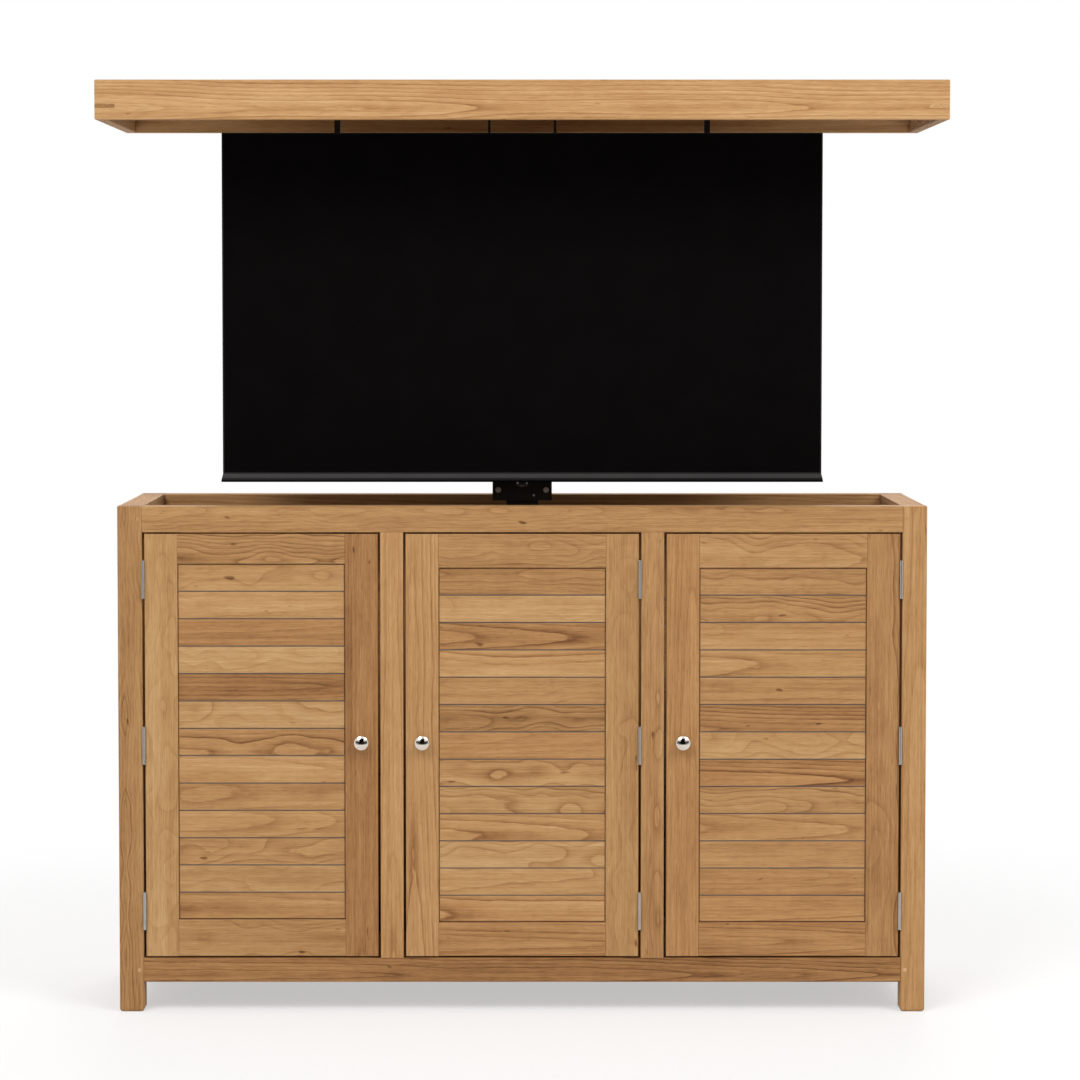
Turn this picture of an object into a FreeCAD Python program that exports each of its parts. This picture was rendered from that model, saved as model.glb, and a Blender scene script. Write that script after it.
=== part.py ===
"""A teak cabinet whose lid and television rise together on a telescopic column.

Frame: millimetres, +Z up, origin on the floor under the middle of the cabinet.
The doors face -Y. The model stands with the lift fully raised and the doors shut.
"""

import FreeCAD
import Part
import math
import os
from FreeCAD import Vector

OUT = "parts"

# ---------------------------------------------------------------- driving sizes
CABINET_WIDTH = 1625.0
CABINET_DEPTH = 500.0
CABINET_HEIGHT = 1023.0
POST = 49.0                     # corner posts and the rails between them are this thick
POST_EASE = 1.5
FOOT_ROUND = 7.0                # rounding round the bottom of each leg
TOP_RAIL_HEIGHT = 52.0
BOTTOM_RAIL_HEIGHT = 49.0
LEG_CLEAR = 61.0                # floor to the underside of the bottom rails
MULLION_WIDTH = 46.0
RAIL_EASE = 1.0

TENON_THICKNESS = 12.0
TENON_LENGTH = 24.0
TENON_SHOULDER = 10.0           # step above and below each rail tenon
TENON_SETBACK = 6.0             # outer face to tenon cheek
MORTISE_CLEARANCE = 0.2
MORTISE_END_CLEARANCE = 1.0
PEG_RADIUS = 4.0
PEG_HOLE_CLEARANCE = 0.15
PEG_LENGTH = 34.0
PEG_EDGE = 9.0                  # peg centre to the shoulder it locks

SLAT_THICKNESS = 12.0
SLAT_GAP = 1.0
SLAT_SHOULDER_GAP = 2.0         # shadow line left round each panel
SLAT_CHAMFER = 1.3
SLAT_TONGUE = 5.0               # height of the tongue on each slat's top edge
SLAT_TONGUE_THICKNESS = 4.0
SLAT_SEAT = 8.0                 # how far slats reach into the grooves round a panel
GROOVE_CLEARANCE = 0.3
GROOVE_END_CLEARANCE = 1.0
WALL_SLAT_SETBACK = 12.0        # outer face of the posts to the side and back slats
WALL_SLAT_PITCH = 57.0          # the true pitch divides the panel evenly

DOOR_THICKNESS = 24.0
DOOR_RECESS = 1.0
DOOR_SIDE_GAP = 5.0
DOOR_END_GAP = 3.5
DOOR_STILE_WIDTH = 66.0
DOOR_SLATS = 13
DOOR_SLAT_SETBACK = 3.0
DOOR_TENON_LENGTH = 20.0
DOOR_EASE = 1.0

HINGE_HEIGHT = 76.0
HINGE_LEAF = 2.0
HINGE_LEAF_DEPTH = 21.0
KNUCKLE_RADIUS = 3.2
KNUCKLES = 5
KNUCKLE_GAP = 0.2
HINGE_PIN_RADIUS = 1.5
HINGE_PIN_CLEARANCE = 0.05
HINGE_PROUD = 3.4               # hinge axis in front of the door face
HINGE_INSET = 54.0              # door end to the nearest hinge end

KNOB_RADIUS = 15.0
KNOB_REACH = 26.0
KNOB_BASE_RADIUS = 9.5
KNOB_BASE_LIP = 1.5
KNOB_NECK_RADIUS = 5.5
KNOB_CROWN = 3.5                # rise of the domed face
KNOB_RIM_HEIGHT = 7.5
KNOB_RIM_ROUND = 2.5
KNOB_STUD_RADIUS = 2.5
KNOB_STUD_CLEARANCE = 0.3
KNOB_NUT_RADIUS = 6.0
KNOB_NUT_HEIGHT = 4.0
KNOB_STUD_PAST_NUT = 3.0
KNOB_HEIGHT = 548.0             # floor to knob centre

CATCH_WIDTH = 46.0
CATCH_HEIGHT = 15.0
CATCH_DEPTH = 16.0
CATCH_CLEARANCE = 0.3
CATCH_EASE = 1.5
CATCH_FROM_LOCK = 70.0          # lock edge of the door to the middle of its catch

FLOOR_THICKNESS = 18.0
FLOOR_BELOW_RAIL = 2.0
FLOOR_BOARDS = 4
BOARD_GAP = 2.0
BEARER_WIDTH = 44.0
BEARER_OFFSETS = (-700.0, -240.0, 240.0, 700.0)
CABLE_HOLE_RADIUS = 25.0
CABLE_HOLE_X = -450.0

# lid
LID_OVERHANG = 36.0
LID_RAIL_THICKNESS = 22.0
LID_HEIGHT = 79.0
LID_BOARD_THICKNESS = 20.0
LID_BOARDS = 6
LID_BATTEN_THICKNESS = 16.0
LID_BATTEN_WIDTH = 62.0
LID_MIDDLE_BATTEN_WIDTH = 200.0
LID_END_BATTEN_X = 700.0
LID_REST_GAP = 1.0
LID_KEY_LEG = 40.0
LID_KEY_THICKNESS = 8.0
LID_KEY_ABOVE_EDGE = 27.0       # lower edge of the lid to the middle of each corner key
LID_EASE = 1.5

# lift column, two moving stages
BASE_PLATE_CLEARANCE = 2.0      # base plate to the rear rails
OUTER_TUBE = 84.0
MIDDLE_TUBE = 70.0
INNER_TUBE = 56.0
TUBE_WALL = 3.0
TUBE_CORNER = 5.0
TUBE_OVERLAP = 239.6            # each tube left inside the one outside it, raised
BASE_PLATE_THICKNESS = 10.0
BASE_PLATE_DEPTH = 170.0
BASE_PLATE_LEFT = 130.0
BASE_PLATE_RIGHT = 215.0
GEARBOX_SIDE = 100.0
GEARBOX_HEIGHT = 46.0
GEARBOX_ROUND = 6.0
MIDDLE_TUBE_START = 8.0         # each tube's foot above the one that carries it, closed
INNER_TUBE_START = 56.0
TUBE_TOP_STEP = 4.0             # each tube tops out this much above the one outside it
GLIDE_CLEARANCE = 0.3
GLIDE_WIDTH = 36.0
GLIDE_HEIGHT = 50.0
GLIDE_END = 6.0
MOTOR_RADIUS = 25.0
MOTOR_LENGTH = 130.0
MOTOR_CAP = 8.0
MOTOR_CAP_STEP = 3.0
CONTROL_BOX = (190.0, 110.0, 42.0)
CONTROL_BOX_X = -320.0
CONTROL_BOX_FROM_WALL = 20.0
CONTROL_BOX_EASE = 3.0

LOWER_SPINDLE_RADIUS = 6.0
LOWER_SPINDLE_OVERRUN = 70.0
UPPER_SPINDLE_RADIUS = 10.0
UPPER_SPINDLE_BORE = 6.5
SPINDLE_OVERRUN = 42.0
SPINDLE_CLEARANCE = 0.05
SPINDLE_SEAT_DEPTH = 30.0
END_PLATE = 10.0
NUT_HEIGHT = 20.0
LOWER_NUT_RADIUS = 13.0
UPPER_NUT_RADIUS = 16.0
HUB_RADIUS = 15.0
HUB_HEIGHT = 12.0
HUB_CLEARANCE = 0.5
BEARING_PLATE = 8.0

# carriage on the inner tube
HEAD_PLATE_THICKNESS = 10.0
HEAD_PLATE_OVERHANG = 10.0      # past the back of the inner tube
HEAD_PLATE_ROUND = 12.0
MOUNT_PLATE_THICKNESS = 6.0
MOUNT_PLATE_WIDTH = 124.0
MOUNT_HEAD_WIDTH = 132.0
MOUNT_PLATE_CLEARANCE = 12.0    # mount plate to the outer tube behind it
MOUNT_PLATE_DROP = 44.0         # lower edge of the television to its own
MOUNT_PLATE_RISE = 40.0         # its top above the head plate
MOUNT_HEAD_HEIGHT = 180.0
MOUNT_SLOT_RADIUS = 4.5
MOUNT_SLOT_LENGTH = 70.0
MOUNT_SLOT_X = 50.0
MOUNT_SLOT_HEIGHTS = (120.0, 230.0, 400.0)
BRACKET_RAIL = (460.0, 12.0, 30.0)
BRACKET_ARM = (30.0, 20.0, 420.0)
BRACKET_WALL = 2.5
BRACKET_HOOK = 8.0              # how far the arms' hooks reach over the rails
BRACKET_SEAT_CLEARANCE = 0.5
VESA_WIDTH = 300.0
VESA_HEIGHT = 200.0
CROSSBAR_SIDE = 30.0
CROSSBAR_WALL = 2.5
CROSSBAR_LENGTH = 820.0
OUTER_UPRIGHT_X = 385.0
OUTER_UPRIGHT = 12.0
INNER_UPRIGHT_X = 68.5
INNER_UPRIGHT = 5.0
UPRIGHT_DEPTH = 26.0
UPRIGHT_FOOT = (60.0, 44.0, 5.0)
UPRIGHT_LENGTH = 158.0

# television
TV_WIDTH = 1233.0
TV_HEIGHT = 717.0
TV_BELOW_LID = 57.8             # underside of the lid's battens to its upper edge
TV_CHIN_HEIGHT = 17.0
TV_CHIN_FLARE = 3.0
TV_CHIN_LIP = 4.0
TV_CHIN_PROUD = 5.0
TV_CHIN_EASE = 1.5
TV_BEZEL_WALL = 3.0
TV_BEZEL_DEPTH = 30.0
TV_BEZEL_EASE = 1.0
TV_SCREEN_THICKNESS = 10.0
TV_SCREEN_RECESS = 1.0
TV_FIT = 0.3
TV_BACK_WALL = 2.5
TV_BACK_SLIM = 12.0             # depth of the back cover round its bulge
TV_BULGE_DEPTH = 30.0
TV_BULGE_WIDTH = 1040.0
TV_BULGE_HEIGHT = 400.0
TV_BULGE_TAPER = 28.0
TV_BULGE_RISE = 26.0            # television's lower edge to the bulge
TV_VENT = (5.0, 34.0)           # width and height of each slot in the back
TV_VENT_PITCH = 14.0
TV_VENT_START = 190.0
TV_VENT_FROM_EDGE = 22.0
TV_VENTS = 12                   # slots on each side of the bracket
TV_PORTS = (46.0, 230.0, 12.0)  # width, height and depth of the bay for its sockets
TV_PORTS_X = -430.0
TV_POD_WIDTH = 28.0
TV_POD_TAPER = 1.5
TV_POD_ROUND = 7.0
TV_POD_HEIGHT = 9.0
TV_POD_DEPTH = 20.0
TV_POD_SETBACK = 3.0            # face of the television to the front of the pod
TV_BUTTON_RADIUS = 4.0
TV_BUTTON_LENGTH = 5.4
TV_BUTTON_TRAVEL = 1.0
TV_BUTTON_PROUD = 1.2
TV_BUTTON_EASE = 0.5

# ------------------------------------------------------------- worked-out places
HALF_WIDTH = CABINET_WIDTH / 2
HALF_DEPTH = CABINET_DEPTH / 2
INNER_X = HALF_WIDTH - POST
INNER_Y = HALF_DEPTH - POST
OPENING_BOTTOM = LEG_CLEAR + BOTTOM_RAIL_HEIGHT
OPENING_TOP = CABINET_HEIGHT - TOP_RAIL_HEIGHT
BAY_WIDTH = (2 * INNER_X - 2 * MULLION_WIDTH) / 3
BAY_STARTS = [-INNER_X + i * (BAY_WIDTH + MULLION_WIDTH) for i in range(3)]
FLOOR_TOP = OPENING_BOTTOM - FLOOR_BELOW_RAIL
DOOR_FRONT = -HALF_DEPTH + DOOR_RECESS
DOOR_BACK = DOOR_FRONT + DOOR_THICKNESS
DOOR_BOTTOM = OPENING_BOTTOM + DOOR_END_GAP
DOOR_TOP = OPENING_TOP - DOOR_END_GAP
GROOVE_DEPTH = SLAT_SEAT + GROOVE_END_CLEARANCE
GROOVE_NEAR = (SLAT_THICKNESS - SLAT_TONGUE_THICKNESS) / 2 - GROOVE_CLEARANCE
GROOVE_FAR = GROOVE_NEAR + SLAT_TONGUE_THICKNESS + 2 * GROOVE_CLEARANCE
GEARBOX_BOTTOM = FLOOR_TOP + BASE_PLATE_THICKNESS
OUTER_TUBE_BOTTOM = GEARBOX_BOTTOM + GEARBOX_HEIGHT
OUTER_TUBE_TOP = (CABINET_HEIGHT + LID_REST_GAP - UPRIGHT_LENGTH - CROSSBAR_SIDE
                  - HEAD_PLATE_THICKNESS - 2 * TUBE_TOP_STEP)
STAGE_TRAVEL = OUTER_TUBE_TOP - OUTER_TUBE_BOTTOM - MIDDLE_TUBE_START - TUBE_OVERLAP
LIFT_TRAVEL = 2 * STAGE_TRAVEL
LID_TOP = (CABINET_HEIGHT + LID_REST_GAP + LID_BATTEN_THICKNESS + LID_BOARD_THICKNESS
           + LIFT_TRAVEL)
LID_BOTTOM = LID_TOP - LID_HEIGHT
LID_HALF_WIDTH = HALF_WIDTH + LID_OVERHANG
LID_HALF_DEPTH = HALF_DEPTH + LID_OVERHANG
BATTEN_BOTTOM = LID_TOP - LID_BOARD_THICKNESS - LID_BATTEN_THICKNESS
MIDDLE_TOP = OUTER_TUBE_TOP + TUBE_TOP_STEP + STAGE_TRAVEL
INNER_TOP = MIDDLE_TOP + TUBE_TOP_STEP + STAGE_TRAVEL
HEAD_TOP = INNER_TOP + HEAD_PLATE_THICKNESS
MIDDLE_BOTTOM = OUTER_TUBE_BOTTOM + MIDDLE_TUBE_START + STAGE_TRAVEL
INNER_BOTTOM = MIDDLE_BOTTOM + INNER_TUBE_START + STAGE_TRAVEL
COLUMN_Y = INNER_Y - BASE_PLATE_CLEARANCE - BASE_PLATE_DEPTH / 2
MOUNT_BACK = COLUMN_Y - OUTER_TUBE / 2 - MOUNT_PLATE_CLEARANCE
MOUNT_FRONT = MOUNT_BACK - MOUNT_PLATE_THICKNESS
ARM_BACK = MOUNT_FRONT - BRACKET_RAIL[1]
TV_BACK = ARM_BACK - BRACKET_ARM[1]
TV_FRAME_BACK = TV_BACK - TV_BULGE_DEPTH - TV_BACK_SLIM
TV_FRONT = TV_FRAME_BACK - TV_BEZEL_DEPTH
TV_TOP = BATTEN_BOTTOM - TV_BELOW_LID
TV_BOTTOM = TV_TOP - TV_HEIGHT
MOUNT_PLATE_BOTTOM = TV_BOTTOM - MOUNT_PLATE_DROP
CHIN_TOP = TV_BOTTOM + TV_CHIN_HEIGHT
VESA_CENTRE = TV_BOTTOM + TV_BULGE_RISE + TV_BULGE_HEIGHT / 2
POD_FRONT = TV_FRONT + TV_POD_SETBACK
POD_BOTTOM = TV_BOTTOM - TV_POD_HEIGHT


# -------------------------------------------------------------------- shape tools
def box(x0, x1, y0, y1, z0, z1):
    """A plain block between two corners."""
    return Part.makeBox(x1 - x0, y1 - y0, z1 - z0, Vector(x0, y0, z0))


def long_edges(shape, axis):
    """The straight edges of a shape that run along axis 0, 1 or 2."""
    found = []
    for edge in shape.Edges:
        ends = [v.Point for v in edge.Vertexes]
        if len(ends) == 2:
            run = ends[1] - ends[0]
            if abs(abs(run[axis]) - run.Length) < 1e-6:
                found.append(edge)
    return found


def board(x0, x1, y0, y1, z0, z1, axis, ease):
    """A block whose four edges along its grain, axis 0, 1 or 2, are chamfered."""
    block = box(x0, x1, y0, y1, z0, z1)
    return block.makeChamfer(ease, long_edges(block, axis))


def rod(radius, x, y, z, length, axis=Vector(0, 0, 1)):
    """A cylinder from a point along an axis."""
    return Part.makeCylinder(radius, length, Vector(x, y, z), axis)


def prism(points, direction):
    """A closed outline of points pushed along a vector."""
    return Part.Face(Part.makePolygon([*points, points[0]])).extrude(direction)


def ring_tube(side, wall, z0, z1, x=0.0, y=COLUMN_Y):
    """An upright square tube with rounded corners."""
    def post(half, corner):
        block = box(x - half, x + half, y - half, y + half, z0, z1)
        return block.makeFillet(corner, long_edges(block, 2))
    return post(side / 2, TUBE_CORNER).cut(post(side / 2 - wall, TUBE_CORNER - wall))


def turned(outline, axis):
    """A solid of revolution from lines and arcs given as (radius, place) pairs."""
    edges = []
    for kind, *pairs in outline:
        points = [Vector(r, y, 0) for r, y in pairs]
        if kind == "line":
            edges.append(Part.makeLine(*points))
        else:
            edges.append(Part.Arc(*points).toShape())
    return Part.Face(Part.Wire(edges)).revolve(Vector(0, 0, 0), axis, 360)


def mirror_x(shape):
    """The shape's mirror image across the cabinet's middle."""
    return shape.mirror(Vector(0, 0, 0), Vector(1, 0, 0))


def mirror_y(shape):
    """The shape's mirror image, front to back."""
    return shape.mirror(Vector(0, 0, 0), Vector(0, 1, 0))


def one_solid(shape):
    """The single solid inside a boolean result."""
    return shape.removeSplitter().Solids[0]


# ------------------------------------------------------------------ slatted panels
def slat_outline(pitch, first, last):
    """A slat's section as (depth, height) pairs, with its front at depth 0.

    A middle slat has a groove below for the tongue of the slat under it. The lowest and
    highest slats stop at a shoulder, a little short of the rail.
    """
    bottom = SLAT_SHOULDER_GAP if first else 0
    top = pitch - (SLAT_SHOULDER_GAP if last else SLAT_GAP)
    middle = SLAT_THICKNESS / 2
    slot = SLAT_TONGUE_THICKNESS / 2 + GROOVE_CLEARANCE
    points = [(SLAT_CHAMFER, bottom), (0, bottom + SLAT_CHAMFER), (0, top - SLAT_CHAMFER),
              (SLAT_CHAMFER, top), (SLAT_THICKNESS, top), (SLAT_THICKNESS, bottom)]
    if not first:
        points += [(middle + slot, 0), (middle + slot, SLAT_TONGUE),
                   (middle - slot, SLAT_TONGUE), (middle - slot, 0)]
    return points


def tongue_outline(pitch, first, last):
    """The tongue that runs through a slat and stands out above it and at both ends."""
    bottom = -SLAT_SEAT if first else SLAT_TONGUE
    top = pitch + SLAT_SEAT if last else pitch - SLAT_GAP + SLAT_TONGUE
    near = (SLAT_THICKNESS - SLAT_TONGUE_THICKNESS) / 2
    far = near + SLAT_TONGUE_THICKNESS
    return [(near, bottom), (near, top), (far, top), (far, bottom)]


def slats(low, high, front, inward, z0, z1, count, along_x):
    """A stack of slats between two posts or stiles at low and high, along X or along Y.

    front is the outer face of the slats, and inward, +1 or -1, points into the cabinet.
    """
    pitch = (z1 - z0) / count
    stack = []
    for i in range(count):
        ends = i == 0, i == count - 1
        parts = []
        for outline, reach in ((slat_outline(pitch, *ends), -SLAT_SHOULDER_GAP),
                               (tongue_outline(pitch, *ends), SLAT_SEAT)):
            start, length = low - reach, high - low + 2 * reach
            points = [(start, front + inward * d, z0 + i * pitch + h) for d, h in outline]
            if along_x:
                parts.append(prism([Vector(*p) for p in points], Vector(length, 0, 0)))
            else:
                parts.append(prism([Vector(d, run, z) for run, d, z in points],
                                   Vector(0, length, 0)))
        stack.append(one_solid(parts[0].fuse(parts[1])))
    return stack


WALL_SLATS = round((OPENING_TOP - OPENING_BOTTOM) / WALL_SLAT_PITCH)
WALL_GROOVE_Y = (HALF_DEPTH - WALL_SLAT_SETBACK - GROOVE_FAR,
                 HALF_DEPTH - WALL_SLAT_SETBACK - GROOVE_NEAR)
WALL_GROOVE_X = (HALF_WIDTH - WALL_SLAT_SETBACK - GROOVE_FAR,
                 HALF_WIDTH - WALL_SLAT_SETBACK - GROOVE_NEAR)


# -------------------------------------------------------------------- the carcass
def front_tenon(bottom, height):
    """The left tenon of a front rail, as block limits; the other corners mirror it."""
    front = -HALF_DEPTH + TENON_SETBACK
    return (-INNER_X - TENON_LENGTH, -INNER_X, front, front + TENON_THICKNESS,
            bottom + TENON_SHOULDER, bottom + height - TENON_SHOULDER)


def side_tenon(bottom, height):
    """The front tenon of the left side rail, as block limits."""
    outer = -HALF_WIDTH + TENON_SETBACK
    return (outer, outer + TENON_THICKNESS, -INNER_Y - TENON_LENGTH, -INNER_Y,
            bottom + TENON_SHOULDER, bottom + height - TENON_SHOULDER)


RAIL_BANDS = ((OPENING_TOP, TOP_RAIL_HEIGHT), (LEG_CLEAR, BOTTOM_RAIL_HEIGHT))


def mortise(limits, axis, away):
    """The pocket for a tenon: clear all round, and longer at its blind end."""
    x0, x1, y0, y1, z0, z1 = limits
    c = MORTISE_CLEARANCE
    low = [x0 - c, y0 - c, z0 - c]
    high = [x1 + c, y1 + c, z1 + c]
    if away < 0:
        low[axis] -= MORTISE_END_CLEARANCE
    else:
        high[axis] += MORTISE_END_CLEARANCE
    return box(low[0], high[0], low[1], high[1], low[2], high[2])


def peg_places():
    """Where the pegs of the front-left post start: one through each front rail's tenon."""
    return [Vector(-INNER_X - PEG_EDGE, -HALF_DEPTH, bottom + height / 2)
            for bottom, height in RAIL_BANDS]


def peg_holes():
    """Cutters for the front-left pegs, a little wider and longer than each peg."""
    radius = PEG_RADIUS + PEG_HOLE_CLEARANCE
    length = PEG_LENGTH + PEG_HOLE_CLEARANCE
    return [Part.makeCylinder(radius, length, p, Vector(0, 1, 0)) for p in peg_places()]


def corner_post(rear):
    """The left front or left rear post; the right ones are its mirror image."""
    post = box(-HALF_WIDTH, -INNER_X, -HALF_DEPTH, -INNER_Y, 0, CABINET_HEIGHT)
    foot = [e for e in post.Edges if all(abs(v.Z) < 1e-6 for v in e.Vertexes)]
    post = post.makeFillet(FOOT_ROUND, foot)
    post = post.makeChamfer(POST_EASE, long_edges(post, 2))
    for bottom, height in RAIL_BANDS:
        post = post.cut(mortise(front_tenon(bottom, height), 0, -1))
        post = post.cut(mortise(side_tenon(bottom, height), 1, -1))
    for hole in peg_holes():
        post = post.cut(hole)
    z0 = OPENING_BOTTOM - GROOVE_DEPTH
    z1 = OPENING_TOP + GROOVE_DEPTH
    post = post.cut(box(-WALL_GROOVE_X[1], -WALL_GROOVE_X[0],
                        -INNER_Y - GROOVE_DEPTH, -INNER_Y + 1, z0, z1))
    if rear:
        post = post.cut(box(-INNER_X - GROOVE_DEPTH, -INNER_X + 1,
                            -WALL_GROOVE_Y[1], -WALL_GROOVE_Y[0], z0, z1))
        post = mirror_y(post)
    return one_solid(post)


def long_rail(bottom, height, grooved):
    """A front rail with a tenon at each end, and a slat groove where grooved."""
    rail = board(-INNER_X, INNER_X, -HALF_DEPTH, -INNER_Y, bottom, bottom + height,
                 0, RAIL_EASE)
    tenon = box(*front_tenon(bottom, height))
    rail = rail.fuse([tenon, mirror_x(tenon)])
    for hole in peg_holes():
        rail = rail.cut([hole, mirror_x(hole)])
    for pocket in mullion_mortises():
        rail = rail.cut(pocket)
    if grooved:
        rail = rail.cut(box(-INNER_X - 1, INNER_X + 1, -WALL_GROOVE_Y[1], -WALL_GROOVE_Y[0],
                            OPENING_TOP - 1, OPENING_TOP + GROOVE_DEPTH))
        rail = rail.cut(box(-INNER_X - 1, INNER_X + 1, -WALL_GROOVE_Y[1], -WALL_GROOVE_Y[0],
                            OPENING_BOTTOM - GROOVE_DEPTH, OPENING_BOTTOM + 1))
    return one_solid(rail)


def side_rail(bottom, height):
    """A left side rail with a tenon at each end and a slat groove."""
    rail = board(-HALF_WIDTH, -INNER_X, -INNER_Y, INNER_Y, bottom, bottom + height,
                 1, RAIL_EASE)
    tenon = box(*side_tenon(bottom, height))
    rail = rail.fuse([tenon, mirror_y(tenon)])
    for z0, z1 in ((OPENING_TOP - 1, OPENING_TOP + GROOVE_DEPTH),
                   (OPENING_BOTTOM - GROOVE_DEPTH, OPENING_BOTTOM + 1)):
        rail = rail.cut(box(-WALL_GROOVE_X[1], -WALL_GROOVE_X[0],
                            -INNER_Y - 1, INNER_Y + 1, z0, z1))
    return one_solid(rail)


def mullion_tenon(x0, z0, z1):
    """The stub tenon at one end of a front mullion, as block limits."""
    middle = x0 + MULLION_WIDTH / 2
    half = MULLION_WIDTH / 2 - TENON_SHOULDER
    front = -HALF_DEPTH + TENON_SETBACK + DOOR_THICKNESS
    return (middle - half, middle + half, front, front + TENON_THICKNESS, z0, z1)


def mullion_starts():
    """The left edge of each mullion."""
    return [start + BAY_WIDTH for start in BAY_STARTS[:2]]


def mullion_mortises():
    """Pockets in the top and bottom rails for the mullions' tenons."""
    pockets = []
    for x0 in mullion_starts():
        upper = mullion_tenon(x0, OPENING_TOP, OPENING_TOP + DOOR_TENON_LENGTH)
        lower = mullion_tenon(x0, OPENING_BOTTOM - DOOR_TENON_LENGTH, OPENING_BOTTOM)
        pockets += [mortise(upper, 2, 1), mortise(lower, 2, -1)]
    return pockets


def mullion(x0, grooved):
    """A front mullion; a grooved one, mirrored to the back, also holds slats."""
    bar = board(x0, x0 + MULLION_WIDTH, -HALF_DEPTH, -INNER_Y, OPENING_BOTTOM,
                OPENING_TOP, 2, RAIL_EASE)
    bar = bar.fuse([box(*mullion_tenon(x0, OPENING_TOP, OPENING_TOP + DOOR_TENON_LENGTH)),
                    box(*mullion_tenon(x0, OPENING_BOTTOM - DOOR_TENON_LENGTH,
                                       OPENING_BOTTOM))])
    if grooved:
        for g0, g1 in ((x0 - 1, x0 + GROOVE_DEPTH),
                       (x0 + MULLION_WIDTH - GROOVE_DEPTH, x0 + MULLION_WIDTH + 1)):
            bar = bar.cut(box(g0, g1, -WALL_GROOVE_Y[1], -WALL_GROOVE_Y[0],
                              OPENING_BOTTOM, OPENING_TOP))
    return one_solid(bar)


def back_slats():
    """Three bays of slats in the back."""
    stack = []
    for start in BAY_STARTS:
        stack += slats(start, start + BAY_WIDTH, HALF_DEPTH - WALL_SLAT_SETBACK, -1,
                       OPENING_BOTTOM, OPENING_TOP, WALL_SLATS, along_x=True)
    return stack


def side_slats():
    """The slats of the left and right sides."""
    left = slats(-INNER_Y, INNER_Y, -HALF_WIDTH + WALL_SLAT_SETBACK, 1,
                 OPENING_BOTTOM, OPENING_TOP, WALL_SLATS, along_x=False)
    return left + [mirror_x(s) for s in left]


def joint_pegs():
    """Dowels through the posts and the tenons of the front and rear rails."""
    pegs = [Part.makeCylinder(PEG_RADIUS, PEG_LENGTH, p, Vector(0, 1, 0))
            for p in peg_places()]
    pegs += [mirror_x(p) for p in pegs]
    return pegs + [mirror_y(p) for p in pegs]


def floor_boards():
    """Boards along the cabinet, gapped to drain; the rear one has the cable hole."""
    width = (2 * INNER_Y - (FLOOR_BOARDS + 1) * BOARD_GAP) / FLOOR_BOARDS
    boards = []
    for i in range(FLOOR_BOARDS):
        y0 = -INNER_Y + BOARD_GAP + i * (width + BOARD_GAP)
        boards.append(board(-INNER_X + BOARD_GAP, INNER_X - BOARD_GAP, y0, y0 + width,
                            FLOOR_TOP - FLOOR_THICKNESS, FLOOR_TOP, 0, RAIL_EASE))
    cable_y = -INNER_Y + (FLOOR_BOARDS - 0.5) * (width + BOARD_GAP) + BOARD_GAP / 2
    boards[-1] = boards[-1].cut(rod(CABLE_HOLE_RADIUS, CABLE_HOLE_X, cable_y,
                                    FLOOR_TOP - 2 * FLOOR_THICKNESS, 3 * FLOOR_THICKNESS))
    return boards


def floor_bearers():
    """Bearers from the front bottom rail to the rear one, under the floor."""
    return [board(x - BEARER_WIDTH / 2, x + BEARER_WIDTH / 2, -INNER_Y, INNER_Y,
                  LEG_CLEAR, FLOOR_TOP - FLOOR_THICKNESS, 1, RAIL_EASE)
            for x in BEARER_OFFSETS]


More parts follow.
